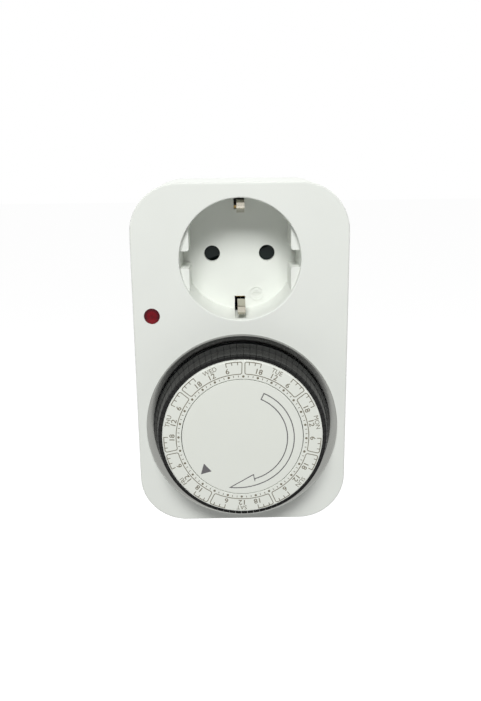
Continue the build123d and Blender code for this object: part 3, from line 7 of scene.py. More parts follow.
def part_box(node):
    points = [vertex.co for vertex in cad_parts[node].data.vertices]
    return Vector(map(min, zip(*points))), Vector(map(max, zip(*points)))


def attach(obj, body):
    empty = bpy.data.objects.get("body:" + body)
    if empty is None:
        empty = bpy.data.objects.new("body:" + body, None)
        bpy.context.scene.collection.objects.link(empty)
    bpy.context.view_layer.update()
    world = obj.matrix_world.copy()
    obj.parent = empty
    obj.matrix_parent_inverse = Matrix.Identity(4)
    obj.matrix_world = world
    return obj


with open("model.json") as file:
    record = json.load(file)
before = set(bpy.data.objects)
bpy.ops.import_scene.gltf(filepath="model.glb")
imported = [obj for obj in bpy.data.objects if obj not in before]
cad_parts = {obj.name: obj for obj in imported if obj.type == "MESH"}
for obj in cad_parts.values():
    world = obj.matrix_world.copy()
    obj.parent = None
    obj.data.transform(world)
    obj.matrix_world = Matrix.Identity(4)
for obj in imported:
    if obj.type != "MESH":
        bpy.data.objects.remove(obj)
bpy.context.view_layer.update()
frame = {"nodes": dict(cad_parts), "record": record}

# Metres. The face of the case looks along -Y, +X is to the right from the front and +Z is up.
MM = 0.001
FACE_Y = -55.5 * MM
RECESS_FLOOR_Y = FACE_Y + 17.5 * MM
DIAL_Z = -57.4 * MM
DIAL_FACE_Y = FACE_Y - 10.8 * MM
LENS_RADIUS = 2.55 * MM
TAPPETS = 84

scene = bpy.context.scene
scene.view_settings.view_transform = "Standard"


# ---------------------------------------------------------------- nodes that several trees need

def maths(tree, operation, a, b=None):
    """The outcome of one sum. Each value is a number or the output of another node."""
    node = tree.nodes.new("ShaderNodeMath")
    node.operation = operation
    for socket, value in zip(node.inputs, (a, b)):
        if isinstance(value, (int, float)):
            socket.default_value = value
        elif value is not None:
            tree.links.new(value, socket)
    return node.outputs[0]


def ray_is(tree, *kinds):
    """1 where a ray is of any of these kinds, and 0 elsewhere."""
    ray = tree.nodes.new("ShaderNodeLightPath")
    found = ray.outputs[kinds[0]]
    for kind in kinds[1:]:
        found = maths(tree, "MAXIMUM", found, ray.outputs[kind])
    return found


# ---------------------------------------------------------------- camera, lights and floor

CAMERA_PLACE = (-0.002861, -0.30254, 0.034718)
# Radians: down, to the right, and clockwise round the line of sight.
CAMERA_PITCH, CAMERA_YAW, CAMERA_ROLL = 0.2577, 0.0107, 0.0117
# Millimetres, as on a real lens.
FOCAL_LENGTH, SENSOR_HEIGHT = 26.095, 24.0
NEAREST_SEEN, FURTHEST_SEEN = 0.01, 50.0

# Each softbox has its name, its place, the point that it looks at, its size and its watts.
SOFTBOXES = (
    ("overhead_softbox", (-0.035, -0.61, 0.51), (0, -0.04, -0.03), (0.36, 0.26), 5.85),
    ("softbox_left_behind", (-0.50, 0.42, 0.32), (0, -0.02, -0.03), (0.4, 0.3), 2.5),
    ("softbox_right_behind", (0.50, 0.42, 0.32), (0, -0.02, -0.03), (0.4, 0.3), 2.3),
)
ROOM_LIGHT = 0.165
WHITE = (1, 1, 1, 1)
FLOOR_HEIGHT, FLOOR_HALF = -0.50, 8.0
FLOOR_PAINT = (0.86, 0.86, 0.86, 1)
FLOOR_GLOW = 0.84


def place_camera():
    pitch, yaw, roll = CAMERA_PITCH, CAMERA_YAW, CAMERA_ROLL
    forward = Vector((sin(yaw) * cos(pitch), cos(yaw) * cos(pitch), -sin(pitch)))
    level_right = Vector((cos(yaw), -sin(yaw), 0))
    level_down = forward.cross(level_right)
    right = cos(roll) * level_right + sin(roll) * level_down
    down = cos(roll) * level_down - sin(roll) * level_right
    lens = bpy.data.cameras.new("camera")
    lens.sensor_fit = "VERTICAL"
    lens.sensor_height = SENSOR_HEIGHT
    lens.lens = FOCAL_LENGTH
    lens.clip_start = NEAREST_SEEN
    lens.clip_end = FURTHEST_SEEN
    camera = bpy.data.objects.new("camera", lens)
    turn = Matrix((right, -down, -forward)).transposed().to_4x4()
    camera.matrix_world = Matrix.Translation(CAMERA_PLACE) @ turn
    scene.collection.objects.link(camera)
    scene.camera = camera


def add_softbox(name, place, aim, size, watts):
    """A soft light that glossy surfaces don't mirror."""
    lamp = bpy.data.lights.new(name, "AREA")
    lamp.shape = "RECTANGLE"
    lamp.size, lamp.size_y = size
    lamp.energy = watts
    light = bpy.data.objects.new(name, lamp)
    light.location = place
    light.rotation_euler = (Vector(aim) - Vector(place)).to_track_quat("-Z", "Y").to_euler()
    light.visible_glossy = False
    scene.collection.objects.link(light)


def fill_world():
    """White where it is seen, mirrored or looked through to, and dim as a light."""
    world = bpy.data.worlds.new("studio")
    scene.world = world
    world.use_nodes = True
    tree = world.node_tree
    tree.nodes.clear()
    add, link = tree.nodes.new, tree.links.new
    mix = add("ShaderNodeMixShader")
    link(ray_is(tree, "Is Camera Ray", "Is Glossy Ray", "Is Transmission Ray"), mix.inputs[0])
    for socket, strength in zip(mix.inputs[1:], (ROOM_LIGHT, 1.0)):
        backdrop = add("ShaderNodeBackground")
        backdrop.inputs["Color"].default_value = WHITE
        backdrop.inputs["Strength"].default_value = strength
        link(backdrop.outputs[0], socket)
    out = add("ShaderNodeOutputWorld")
    link(mix.outputs[0], out.inputs["Surface"])


def lay_floor():
    """A pale floor that shows white, and keeps the shadow that falls on it."""
    paint = bpy.data.materials.new("floor_paint")
    paint.use_nodes = True
    tree = paint.node_tree
    tree.nodes.clear()
    add, link = tree.nodes.new, tree.links.new
    pale = add("ShaderNodeBsdfDiffuse")
    pale.inputs["Color"].default_value = FLOOR_PAINT
    glow = add("ShaderNodeEmission")
    seen = ray_is(tree, "Is Camera Ray", "Is Glossy Ray")
    link(maths(tree, "MULTIPLY", seen, FLOOR_GLOW), glow.inputs["Strength"])
    total = add("ShaderNodeAddShader")
    link(pale.outputs[0], total.inputs[0])
    link(glow.outputs[0], total.inputs[1])
    out = add("ShaderNodeOutputMaterial")
    link(total.outputs[0], out.inputs["Surface"])
    mesh = bpy.data.meshes.new("floor")
    corners = [(-1, -1), (1, -1), (1, 1), (-1, 1)]
    mesh.from_pydata(
        [(x * FLOOR_HALF, y * FLOOR_HALF, FLOOR_HEIGHT) for x, y in corners], [], [(0, 1, 2, 3)]
    )
    mesh.materials.append(paint)
    floor = bpy.data.objects.new("floor", mesh)
    scene.collection.objects.link(floor)


place_camera()
fill_world()
for softbox in SOFTBOXES:
    add_softbox(*softbox)
lay_floor()


# ---------------------------------------------------------------- finishes

# The middle part of a noise's values, which is spread over the whole of a range.
NOISE_LOW, NOISE_HIGH = 0.3, 0.7
# How many spots of each noise lie in a metre.
CLOUD_SCALE, TINT_SCALE, GRAIN_SCALE = 60.0, 300.0, 1000.0 / 0.35
CLEAR_IOR = 1.49
# The shares of its roughness between which the lines in a metal go smoother and rougher.
METAL_SMOOTHER, METAL_ROUGHER = 0.8, 1.25

TAPPET_TILT, TAPPET_ROUNDING, TAPPET_GRAIN = 0.05, -0.05, 0.002
TAPPET_RELIEF = 2.2 * MM
TAPPET_GRAIN_SCALE, TAPPET_SHADE_SCALE = 3500.0, 400.0
TAPPET_DARK, TAPPET_LIGHT = (0.012, 0.0125, 0.012), (0.017, 0.0175, 0.0165)
TAPPET_ROUGHNESS, TAPPET_SPECULAR = 0.15, 0.22

# Painted shade and light on the lamp lens: how bright it is painted at shares of its radius (a
# lighter ring round the middle and a dark rim), and between which heights a painted light
# brightens it towards the bottom.
LENS_PAINTED_SHADE_LEVELS = ((0.0, 0.28), (0.40, 0.55), (0.60, 0.50), (0.74, 0.06))
LENS_PAINTED_LIGHT_TOP, LENS_PAINTED_LIGHT_BOTTOM, LENS_PAINTED_LIGHT_STRENGTH = -0.30, -0.75, 0.9
LENS_SHADED_RED, LENS_LIT_RED = (0.100, 0.0008, 0.008, 1), (0.360, 0.0008, 0.010, 1)
LENS_ROUGHNESS, LENS_TRANSMISSION, LENS_SPECULAR = 0.14, 0.35, 0.03

# Where the first day of the dial starts, clockwise from the top, and how far a day reaches.
FIRST_DAY_ANGLE = radians(1.3)
DAY_ANGLE = 2 * pi / 7


def principled(name):
    finish = bpy.data.materials.new(name)
    finish.use_nodes = True
    return finish, finish.node_tree, finish.node_tree.nodes["Principled BSDF"]


def frame_coordinates(tree, scale=(1, 1, 1)):
    place = tree.nodes.new("ShaderNodeTexCoord")
    scaled = tree.nodes.new("ShaderNodeMapping")
    scaled.inputs["Scale"].default_value = scale
    tree.links.new(place.outputs["Object"], scaled.inputs["Vector"])
    return scaled.outputs["Vector"]


def add_noise(tree, where, scale, detail=3.0):
    noise = tree.nodes.new("ShaderNodeTexNoise")
    noise.inputs["Scale"].default_value = scale
    noise.inputs["Detail"].default_value = detail
    tree.links.new(where, noise.inputs["Vector"])
    return noise.outputs["Fac"]


def spread(tree, value, low, high):
    span = tree.nodes.new("ShaderNodeMapRange")
    span.inputs["From Min"].default_value = NOISE_LOW
    span.inputs["From Max"].default_value = NOISE_HIGH
    span.inputs["To Min"].default_value = low
    span.inputs["To Max"].default_value = high
    tree.links.new(value, span.inputs["Value"])
    return span.outputs["Result"]


def two_tones(tree, value, dark, light):
    tones = tree.nodes.new("ShaderNodeValToRGB")
    ends = zip(tones.color_ramp.elements, (NOISE_LOW, NOISE_HIGH), (dark, light))
    for end, position, colour in ends:
        end.position = position
        end.color = (*colour, 1)
    tree.links.new(value, tones.inputs["Fac"])
    return tones.outputs["Color"]


def vary_colour(tree, shader, value, colour, vary):
    """Let the colour go a share darker and lighter with the value."""
    dark = [c * (1 - vary) for c in colour]
    light = [min(1, c * (1 + vary)) for c in colour]
    tree.links.new(two_tones(tree, value, dark, light), shader.inputs["Base Color"])


def add_relief(tree, shader, value, depth):
    bump = tree.nodes.new("ShaderNodeBump")
    bump.inputs["Strength"].default_value = 1.0
    bump.inputs["Distance"].default_value = depth
    tree.links.new(value, bump.inputs["Height"])
    tree.links.new(bump.outputs["Normal"], shader.inputs["Normal"])


def moulded_plastic(name, colour, roughness, vary=0.02, grain=0.004, specular=0.5):
    """Moulded plastic with a slight cloudiness and a fine grain, whose depth is in millimetres."""
    finish, tree, shader = principled(name)
    where = frame_coordinates(tree)
    vary_colour(tree, shader, add_noise(tree, where, CLOUD_SCALE), colour, vary)
    shader.inputs["Roughness"].default_value = roughness
    shader.inputs["Specular IOR Level"].default_value = specular
    if grain:
        add_relief(tree, shader, add_noise(tree, where, GRAIN_SCALE, 2.0), grain * MM)
    return finish


def drawn_metal(name, colour, roughness, along=(1, 1, 0.05), vary=0.05, lines=900.0):
    """Sheet or turned metal with fine lines, on the axes where along is small."""
    finish, tree, shader = principled(name)
    streak = add_noise(tree, frame_coordinates(tree, along), lines, 4.0)
    vary_colour(tree, shader, streak, colour, vary)
    rough = spread(tree, streak, roughness * METAL_SMOOTHER, roughness * METAL_ROUGHER)
    tree.links.new(rough, shader.inputs["Roughness"])
    shader.inputs["Metallic"].default_value = 1.0
    return finish


def clear_tinted(name, colour, roughness, transmission):
    finish, tree, shader = principled(name)
    cloud = add_noise(tree, frame_coordinates(tree), TINT_SCALE)
    vary_colour(tree, shader, cloud, colour, 0.1)
    shader.inputs["Roughness"].default_value = roughness
    shader.inputs["Transmission Weight"].default_value = transmission
    shader.inputs["IOR"].default_value = CLEAR_IOR
    return finish


def tappet_plastic():
    """Satin black. Each tappet is a little rounded across and stands at its own slight tilt."""
    finish, tree, shader = principled("tappet_satin_black")
    add, link = tree.nodes.new, tree.links.new
    place = add("ShaderNodeTexCoord")
    split = add("ShaderNodeSeparateXYZ")
    link(place.outputs["Object"], split.inputs[0])
    up = maths(tree, "SUBTRACT", split.outputs["Z"], DIAL_Z)
    angle = maths(tree, "ARCTAN2", split.outputs["X"], up)
    from_first_day = maths(tree, "SUBTRACT", angle, FIRST_DAY_ANGLE)
    # Two whole turns more keep the count above nought all the way round.
    turn = maths(tree, "ADD", from_first_day, 4 * pi)
    count = maths(tree, "MULTIPLY", turn, TAPPETS / (2 * pi))
    number = maths(tree, "FLOOR", count)
    across = maths(tree, "SUBTRACT", maths(tree, "FRACT", count), 0.5)
    chance = add("ShaderNodeTexWhiteNoise")
    chance.noise_dimensions = "1D"
    link(maths(tree, "MODULO", number, float(TAPPETS)), chance.inputs["W"])
    lean = maths(tree, "SUBTRACT", chance.outputs["Value"], 0.5)
    tilt = maths(tree, "MULTIPLY", lean, TAPPET_TILT)
    square = maths(tree, "MULTIPLY", across, across)
    rounding = maths(tree, "MULTIPLY", square, TAPPET_ROUNDING)
    height = maths(tree, "ADD", maths(tree, "MULTIPLY", across, tilt), rounding)
    grain = add_noise(tree, frame_coordinates(tree), TAPPET_GRAIN_SCALE, 2.0)
    relief = maths(tree, "ADD", height, maths(tree, "MULTIPLY", grain, TAPPET_GRAIN))
    add_relief(tree, shader, relief, TAPPET_RELIEF)
    shade = add_noise(tree, frame_coordinates(tree), TAPPET_SHADE_SCALE)
    link(two_tones(tree, shade, TAPPET_DARK, TAPPET_LIGHT), shader.inputs["Base Color"])
    shader.inputs["Roughness"].default_value = TAPPET_ROUGHNESS
    shader.inputs["Specular IOR Level"].default_value = TAPPET_SPECULAR
    return finish


def lens_plastic_painted_light():
    """Clear red, with painted shade and light: a dark rim painted round a lighter middle, and the
    lens painted brighter towards the bottom.
    """
    finish, tree, shader = principled("lamp_clear_red_painted_light")
    add, link = tree.nodes.new, tree.links.new
    low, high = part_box("lamp_lens")
    middle = (low + high) / 2 / LENS_RADIUS
    place = add("ShaderNodeTexCoord")
    centred = add("ShaderNodeMapping")
    centred.inputs["Location"].default_value = (-middle.x, 0, -middle.z)
    centred.inputs["Scale"].default_value = (1 / LENS_RADIUS, 0, 1 / LENS_RADIUS)
    link(place.outputs["Object"], centred.inputs["Vector"])
    reach = add("ShaderNodeVectorMath")
    reach.operation = "LENGTH"
    link(centred.outputs["Vector"], reach.inputs[0])
    # Painted shade: the brightness is painted by radius, lighter round the middle and dark at the
    # rim.
    depth = add("ShaderNodeValToRGB")
    steps = depth.color_ramp.elements
    while len(steps) < len(LENS_PAINTED_SHADE_LEVELS):
        steps.new(1.0)
    for step, (position, level) in zip(steps, LENS_PAINTED_SHADE_LEVELS):
        step.position = position
        step.color = (level, level, level, 1)
    link(reach.outputs["Value"], depth.inputs["Fac"])
    split = add("ShaderNodeSeparateXYZ")
    link(centred.outputs["Vector"], split.inputs[0])
    # Painted light: the lens is painted brighter from below its middle down to its bottom.
    glow = add("ShaderNodeMapRange")
    glow.inputs["From Min"].default_value = LENS_PAINTED_LIGHT_TOP
    glow.inputs["From Max"].default_value = LENS_PAINTED_LIGHT_BOTTOM
    glow.inputs["To Max"].default_value = LENS_PAINTED_LIGHT_STRENGTH
    link(split.outputs["Z"], glow.inputs["Value"])
    # The painted shade and light choose between a shaded red and a lit red for the base colour.
    tones = add("ShaderNodeValToRGB")
    tones.color_ramp.elements[0].color = LENS_SHADED_RED
    tones.color_ramp.elements[1].color = LENS_LIT_RED
    total = maths(tree, "ADD", depth.outputs["Color"], glow.outputs["Result"])
    link(total, tones.inputs["Fac"])
    link(tones.outputs["Color"], shader.inputs["Base Color"])
    shader.inputs["Roughness"].default_value = LENS_ROUGHNESS
    shader.inputs["Transmission Weight"].default_value = LENS_TRANSMISSION
    shader.inputs["IOR"].default_value = CLEAR_IOR
    shader.inputs["Specular IOR Level"].default_value = LENS_SPECULAR
    return finish


finishes = {
    "housing": moulded_plastic("housing_off_white", (0.790, 0.814, 0.769), 0.42, vary=0.012),
    "ring_gloss": drawn_metal(
        "ring_bright_chrome", (0.33, 0.335, 0.315), 0.20, along=(1, 1, 1), vary=0.01, lines=60.0
    ),
    "tappet_black": tappet_plastic(),
    "dial_white": moulded_plastic(
        "dial_white", (0.777, 0.800, 0.740), 0.40, vary=0.008, grain=0.001
    ),
    "dial_inner": moulded_plastic("dial_wheel_black", (0.02, 0.02, 0.021), 0.5),
    "lamp_red": lens_plastic_painted_light(),
    "lamp_glass": clear_tinted("lamp_bulb_glass", (0.95, 0.80, 0.72), 0.04, 0.9),
    "nickel": drawn_metal(
        "pin_nickel", (0.66, 0.64, 0.60), 0.20, along=(1, 0.05, 1), vary=0.03, lines=300.0
    ),
    "spring_metal": drawn_metal(
        "clip_tinned_spring", (0.56, 0.53, 0.45), 0.22, vary=0.03, lines=200.0
    ),
    "brass": drawn_metal("contact_brass", (0.72, 0.52, 0.24), 0.28),
    "black_plastic": moulded_plastic(
        "black_plastic", (0.008, 0.014, 0.013), 0.30, specular=0.22
    ),
    "grey_plastic": moulded_plastic("grey_plastic", (0.25, 0.26, 0.27), 0.5),
    "gear_plastic": moulded_plastic("gear_acetal", (0.72, 0.70, 0.62), 0.45),
    "steel": drawn_metal("plain_steel", (0.45, 0.45, 0.46), 0.30),
    "zinc": drawn_metal("zinc_plate", (0.52, 0.53, 0.52), 0.38, along=(0.2, 0.2, 1)),
    "ferrite": moulded_plastic("rotor_ferrite", (0.045, 0.045, 0.05), 0.55, vary=0.3),
    "winding_copper": drawn_metal(
        "winding_enamel", (0.60, 0.26, 0.12), 0.35, along=(0.02, 1, 0.02)
    ),
    "bobbin_plastic": moulded_plastic("bobbin_tan", (0.50, 0.38, 0.20), 0.5),
    "resistor": moulded_plastic("resistor_lacquer", (0.35, 0.18, 0.09), 0.35),
    "wire_cover": moulded_plastic("wire_cover_blue", (0.06, 0.10, 0.35), 0.45),
}
ink = moulded_plastic("dial_ink", (0.175, 0.158, 0.115), 0.55, vary=0.1, grain=0)
disc_ink = moulded_plastic("disc_ink", (0.12, 0.115, 0.12), 0.55, vary=0.1, grain=0)

slot_of = {part["node"]: part["material_slot"] for part in frame["record"]["subparts"]}
for node_name, cad_node in frame["nodes"].items():
    for place in cad_node.material_slots:
        place.material = finishes[slot_of[node_name]]


# ---------------------------------------------------------------- flat print

PRINT_THICKNESS = 0.015 * MM
PRINT_Y = DIAL_FACE_Y - PRINT_THICKNESS
CORNER_STEPS = 6
# The cosine of half the sharpest bend that a line's corner follows to its full reach.
SHARPEST_BEND = 0.35


def on_dial(radius, angle):
    """A point of the print on the dial, with the angle clockwise from the top in radians."""
    return Vector((radius * sin(angle), PRINT_Y, DIAL_Z + radius * cos(angle)))


def show(name, data):
    made = bpy.data.objects.new(name, data)
    scene.collection.objects.link(made)
    return made


def plain_mesh(source):
    """The finished mesh of a text or of an object with modifiers, which is taken away."""
    bpy.context.view_layer.update()
    ready = source.evaluated_get(bpy.context.evaluated_depsgraph_get())
    mesh = bpy.data.meshes.new_from_object(ready)
    bpy.data.objects.remove(source)
    return mesh


def face_front(made):
    """Turn every flat face of the print to look out of the dial."""
    mesh = made.data
    turned = [face.index for face in mesh.polygons if face.normal.y > 0]
    for index in turned:
        mesh.polygons[index].flip()
    mesh.update()


def join_flat(name, parts, finish):
    """One flat object of several parts, each given by its points and its faces."""
    points, faces = [], []
    for more, shapes in parts:
        start = len(points)
        points += more
        faces += [tuple(start + i for i in face) for face in shapes]
    mesh = bpy.data.meshes.new(name)
    mesh.from_pydata([tuple(p) for p in points], [], faces)
    mesh.materials.append(finish)
    made = show(name, mesh)
    face_front(made)
    return made


def ribbon(points, width, closed=False):
    """Corner points and faces of a flat line that follows points across the face."""
    corners, faces = [], []
    count = len(points)
    for i, here in enumerate(points):
        before = points[i - 1] if i or closed else here
        after = points[(i + 1) % count] if i < count - 1 or closed else here
        way_in = (here - before).normalized() if (here - before).length else None
        way_out = (after - here).normalized() if (after - here).length else None
        way_in = way_in or way_out
        way_out = way_out or way_in
        side_in = Vector((-way_in.z, 0, way_in.x))
        side_out = Vector((-way_out.z, 0, way_out.x))
        side = (side_in + side_out).normalized()
        reach = width / 2 / max(SHARPEST_BEND, side.dot(side_in))
        corners += [here + side * reach, here - side * reach]
    for i in range(count if closed else count - 1):
        a, b = 2 * i, 2 * ((i + 1) % count)
        faces.append((a, b, b + 1, a + 1))
    return corners, faces


def arc(radius, start, stop, step=radians(1.0)):
    count = max(2, int(abs(stop - start) / step) + 1)
    return [on_dial(radius, start + (stop - start) * i / (count - 1)) for i in range(count)]


def rounded_corner(radius, angle, round_radius, to_angle, to_radius, from_arc):
    """Points round a corner between an arc and a radial line. The signs say where each leads."""
    points = []
    for i in range(CORNER_STEPS + 1):
        turn = radians(90) * i / CORNER_STEPS
        near, far = round_radius * (1 - sin(turn)), round_radius * (1 - cos(turn))
        along, inward = (near, far) if from_arc else (far, near)
        points.append(on_dial(radius + to_radius * inward, angle + to_angle * along / radius))
    return points


# ---------------------------------------------------------------- the scale, which turns

# The dial turns clockwise, so its days and hours run backwards round it.
DAY_NAMES = ("TUE", "MON", "SUN", "SAT", "FRI", "THU", "WED")
# Each hour stands a number of quarter days into its day.
HOUR_NAMES = (("18", 1), ("12", 2), ("6", 3))
QUARTER_DAY = DAY_ANGLE / 4
TAPPET_STEP = DAY_ANGLE / 12

BOX_OUTER, BOX_INNER = 26.0 * MM, 21.94 * MM
BOX_CORNER, BOX_HALF_GAP, BOX_END = 0.6 * MM, 0.49 * MM, 1.35 * MM
DOT_SIDES = 14

# Millimetres. A weight makes strokes bolder by a share of the type size, and widen stretches
# letters sideways.
LINE_WIDTH = 0.26
HOUR_RADIUS, HOUR_HEIGHT, HOUR_WEIGHT, HOUR_WIDEN = 23.3, 1.75, 0.012, 1.10
NAME_RADIUS, NAME_HEIGHT, NAME_WEIGHT, NAME_WIDEN = 25.15, 1.48, 0.0, 0.98
LETTER_SMOOTHNESS = 4

# Each row of marks has its name, how many there are, their radius, the tappets from the start of
# a day, their width and length, and whether they are dots. Sizes are in millimetres.
MARKS = (
    ("six_hour_dots", 28, 21.15, 0, 0.80, 0.80, True),
    ("two_hour_marks_a", 28, 21.2, 1, 0.22, 0.62, False),
    ("two_hour_marks_b", 28, 21.2, 2, 0.22, 0.62, False),
    ("night_marks_a", 7, 25.5, 1, LINE_WIDTH, 1.0, False),
    ("night_marks_b", 7, 25.5, 2, LINE_WIDTH, 1.0, False),
    ("night_marks_c", 7, 25.5, -1, LINE_WIDTH, 1.0, False),
    ("night_marks_d", 7, 25.5, -2, LINE_WIDTH, 1.0, False),
)


def day_outline(day):
    """One day's box. It is open at the top from a quarter of the day to three quarters."""
    start = FIRST_DAY_ANGLE + day * DAY_ANGLE
    stop = start + DAY_ANGLE
    outer, inner, corner = BOX_OUTER, BOX_INNER, BOX_CORNER
    outer_start, outer_stop = start + BOX_HALF_GAP / outer, stop - BOX_HALF_GAP / outer
    inner_start, inner_stop = start + BOX_HALF_GAP / inner, stop - BOX_HALF_GAP / inner
    opens, closes = start + QUARTER_DAY, stop - QUARTER_DAY
    points = [on_dial(outer - BOX_END, opens), on_dial(outer, opens)]
    points += arc(outer, opens, outer_start + corner / outer)[1:]
    points += rounded_corner(outer, outer_start, corner, 1, -1, True)[1:]
    points += rounded_corner(inner, inner_start, corner, 1, 1, False)
    points += arc(inner, inner_start + corner / inner, inner_stop - corner / inner)[1:]
    points += rounded_corner(inner, inner_stop, corner, -1, 1, True)[1:]
    points += rounded_corner(outer, outer_stop, corner, -1, -1, False)
    points += arc(outer, outer_stop - corner / outer, closes)[1:]
    points.append(on_dial(outer - BOX_END, closes))
    return ribbon(points, LINE_WIDTH * MM)


def marks_tree():
    """Marks that repeat round the dial: a dot or a short stroke at each step."""
    tree = bpy.data.node_groups.new("marks_round_dial", "GeometryNodeTree")
    face = tree.interface
    face.new_socket("Geometry", in_out="OUTPUT", socket_type="NodeSocketGeometry")
    for name, kind in (
        ("Geometry", "NodeSocketGeometry"),
        ("Count", "NodeSocketInt"),
        ("Radius", "NodeSocketFloat"),
        ("First angle", "NodeSocketFloat"),
        ("Width", "NodeSocketFloat"),
        ("Length", "NodeSocketFloat"),
        ("Round", "NodeSocketBool"),
        ("Ink", "NodeSocketMaterial"),
    ):
        face.new_socket(name, in_out="INPUT", socket_type=kind)
    add, link = tree.nodes.new, tree.links.new
    given = add("NodeGroupInput").outputs
    made = add("NodeGroupOutput")

    index = add("GeometryNodeInputIndex").outputs[0]
    step = maths(tree, "DIVIDE", 2 * pi, given["Count"])
    turned = maths(tree, "MULTIPLY", index, step)
    angle = maths(tree, "ADD", given["First angle"], turned)
    across = maths(tree, "MULTIPLY", given["Radius"], maths(tree, "SINE", angle))
    up = maths(tree, "MULTIPLY", given["Radius"], maths(tree, "COSINE", angle))
    place = add("ShaderNodeCombineXYZ")
    link(across, place.inputs["X"])
    place.inputs["Y"].default_value = PRINT_Y
    link(maths(tree, "ADD", DIAL_Z, up), place.inputs["Z"])
    points = add("GeometryNodePoints")
    link(given["Count"], points.inputs["Count"])
    link(place.outputs[0], points.inputs["Position"])

    stroke = add("GeometryNodeMeshGrid")
    stroke.inputs["Vertices X"].default_value = 2
    stroke.inputs["Vertices Y"].default_value = 2
    link(given["Width"], stroke.inputs["Size X"])
    link(given["Length"], stroke.inputs["Size Y"])
    dot = add("GeometryNodeMeshCircle")
    dot.fill_type = "NGON"
    dot.inputs["Vertices"].default_value = DOT_SIDES
    link(maths(tree, "DIVIDE", given["Width"], 2.0), dot.inputs["Radius"])
    shape = add("GeometryNodeSwitch")
    shape.input_type = "GEOMETRY"
    link(given["Round"], shape.inputs["Switch"])
    link(stroke.outputs["Mesh"], shape.inputs["False"])
    link(dot.outputs["Mesh"], shape.inputs["True"])

    turn = add("ShaderNodeCombineXYZ")
    turn.inputs["X"].default_value = pi / 2
    link(angle, turn.inputs["Y"])
    spread_out = add("GeometryNodeInstanceOnPoints")
    link(points.outputs[0], spread_out.inputs["Points"])
    link(shape.outputs[0], spread_out.inputs["Instance"])
    link(turn.outputs[0], spread_out.inputs["Rotation"])
    real = add("GeometryNodeRealizeInstances")
    link(spread_out.outputs[0], real.inputs[0])
    painted = add("GeometryNodeSetMaterial")
    link(real.outputs[0], painted.inputs["Geometry"])
    link(given["Ink"], painted.inputs["Material"])
    link(painted.outputs[0], made.inputs[0])
    return tree


def grow(name, tree, values):
    """Build an object from a node tree and keep the result as a plain mesh."""
    seed = show(name + "_seed", bpy.data.meshes.new(name + "_seed"))
    modifier = seed.modifiers.new("grow", "NODES")
    modifier.node_group = tree
    sockets = {s.name: s.identifier for s in tree.interface.items_tree if s.in_out == "INPUT"}
    for label, value in values.items():
        modifier[sockets[label]] = value
    return show(name, plain_mesh(seed))


def lettering(words, height, weight):
    """Points and faces of flat letters, around their own middle and of this height."""
    curve = bpy.data.curves.new("lettering", "FONT")
    curve.body = words
    curve.align_x = "CENTER"
    curve.align_y = "CENTER"
    curve.size = 1.0
    curve.offset = weight
    curve.resolution_u = LETTER_SMOOTHNESS
    mesh = plain_mesh(show("lettering", curve))
    low = Vector([min(v.co[i] for v in mesh.vertices) for i in range(3)])
    high = Vector([max(v.co[i] for v in mesh.vertices) for i in range(3)])
    middle = (low + high) / 2
    scale = height / (high.y - low.y)
    points = [(v.co - middle) * scale for v in mesh.vertices]
    faces = [tuple(face.vertices) for face in mesh.polygons]
    bpy.data.meshes.remove(mesh)
    return points, faces


def letters_at(words, angle, radius, height, weight, widen):
    """Letters that stand on the dial with their tops outward."""
    points, faces = lettering(words, height * MM, weight)
    middle = on_dial(radius * MM, angle)
    outward = Vector((sin(angle), 0, cos(angle)))
    along = Vector((cos(angle), 0, -sin(angle)))
    return [middle + along * p.x * widen + outward * p.y for p in points], faces


def print_scale():
    tree = marks_tree()
    made = []
    for name, count, radius, tappets_on, width, length, is_round in MARKS:
        sizes = {
            "Count": count,
            "Radius": radius * MM,
            "First angle": FIRST_DAY_ANGLE + tappets_on * TAPPET_STEP,
            "Width": width * MM,
            "Length": length * MM,
            "Round": is_round,
            "Ink": ink,
        }
        marks = grow(name, tree, sizes)
        face_front(marks)
        made.append(marks)
    made.append(join_flat("day_outlines", [day_outline(day) for day in range(7)], ink))
    words = []
    for day, name in enumerate(DAY_NAMES):
        start = FIRST_DAY_ANGLE + day * DAY_ANGLE
        for hour, quarters in HOUR_NAMES:
            angle = start + quarters * QUARTER_DAY
            words.append(
                letters_at(hour, angle, HOUR_RADIUS, HOUR_HEIGHT, HOUR_WEIGHT, HOUR_WIDEN)
            )
        noon = start + 2 * QUARTER_DAY
        words.append(letters_at(name, noon, NAME_RADIUS, NAME_HEIGHT, NAME_WEIGHT, NAME_WIDEN))
    made.append(join_flat("dial_lettering", words, ink))
    for part in made:
        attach(part, "dial")


# ---------------------------------------------------------------- the disc, which stands still

ARROW_OUTER, ARROW_INNER, ARROW_TIP_RADIUS = 17.12 * MM, 14.90 * MM, 17.95 * MM
ARROW_TAIL, ARROW_SHOULDER, ARROW_TIP = radians(24.6), radians(150.0), radians(194.0)
ARROW_NECK = radians(164.0)
# Radius and angle of the two corners behind the arrow's head.
ARROW_BARB, ARROW_NOTCH = (13.37 * MM, radians(164.6)), (15.5 * MM, radians(165.2))
ARROW_DROP, ARROW_LINE = 0.3 * MM, 0.34 * MM
ARROW_STEP, ARROW_TIP_STEPS = radians(1.5), 16
POINTER_CORNERS = (
    (19.05 * MM, radians(227.7)),
    (15.75 * MM, radians(221.6)),
    (15.75 * MM, radians(235.4)),
)


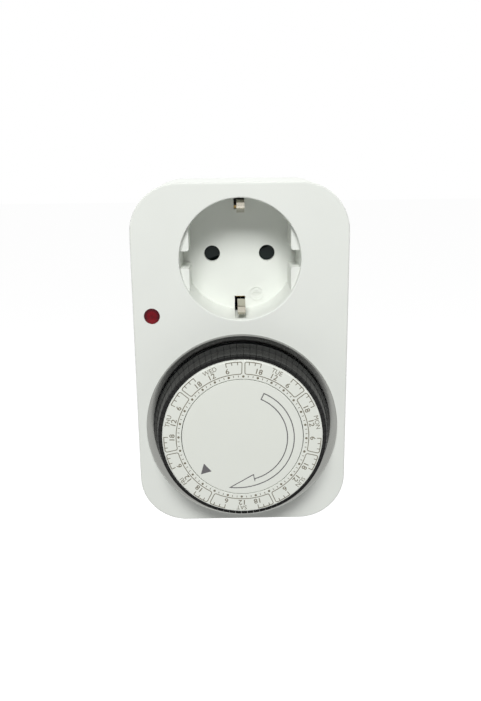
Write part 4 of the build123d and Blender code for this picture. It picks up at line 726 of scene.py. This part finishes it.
def print_disc():
    """The arrow for the way the dial turns, and the pointer that the hours pass."""
    points = arc(ARROW_OUTER, ARROW_TAIL, ARROW_SHOULDER, ARROW_STEP)
    for i in range(1, ARROW_TIP_STEPS + 1):
        share = i / ARROW_TIP_STEPS
        radius = ARROW_OUTER + (ARROW_TIP_RADIUS - ARROW_OUTER) * share**2
        points.append(on_dial(radius, ARROW_SHOULDER + (ARROW_TIP - ARROW_SHOULDER) * share))
    points += [on_dial(*ARROW_BARB), on_dial(*ARROW_NOTCH)]
    points += arc(ARROW_INNER, ARROW_NECK, ARROW_TAIL, ARROW_STEP)
    points = [point + Vector((0, 0, -ARROW_DROP)) for point in points]
    arrow = join_flat("turning_arrow", [ribbon(points, ARROW_LINE, closed=True)], disc_ink)
    corners = [on_dial(*corner) for corner in POINTER_CORNERS]
    pointer = join_flat("pointer_triangle", [(corners, [(0, 1, 2)])], disc_ink)
    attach(arrow, "case")
    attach(pointer, "case")


# ---------------------------------------------------------------- the sign in the recess

SIGN_MIDDLE = Vector((5.8 * MM, RECESS_FLOOR_Y, -14.2 * MM))
SIGN_RADIUS, SIGN_LINE, SIGN_HEIGHT = 2.35 * MM, 0.34 * MM, 0.26 * MM
SIGN_SIDES = 48
# Millimetres from the sign's middle: where the stem starts and ends, then how high each bar lies
# and how far it reaches to each side.
SIGN_STEM = (-0.17, -1.95)
SIGN_BARS = ((0, 1.5), (0.68, 1.1), (1.36, 0.55))


def raise_earth_sign():
    """The earth sign stands a little proud of the recess floor, with its stem down."""

    def at(x, z):
        return SIGN_MIDDLE + Vector((x, -SIGN_HEIGHT, z))

    turns = [2 * pi * i / SIGN_SIDES for i in range(SIGN_SIDES)]
    circle = [at(SIGN_RADIUS * cos(turn), SIGN_RADIUS * sin(turn)) for turn in turns]
    lines = [
        ribbon(circle, SIGN_LINE, closed=True),
        ribbon([at(0, z * MM) for z in SIGN_STEM], SIGN_LINE),
    ]
    for z, half in SIGN_BARS:
        lines.append(ribbon([at(-half * MM, z * MM), at(half * MM, z * MM)], SIGN_LINE))
    flat = join_flat("earth_sign_flat", lines, finishes["housing"])
    thick = flat.modifiers.new("height", "SOLIDIFY")
    thick.thickness = SIGN_HEIGHT
    thick.offset = -1.0
    sign = show("earth_sign", plain_mesh(flat))
    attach(sign, "case")


print_scale()
print_disc()
raise_earth_sign()
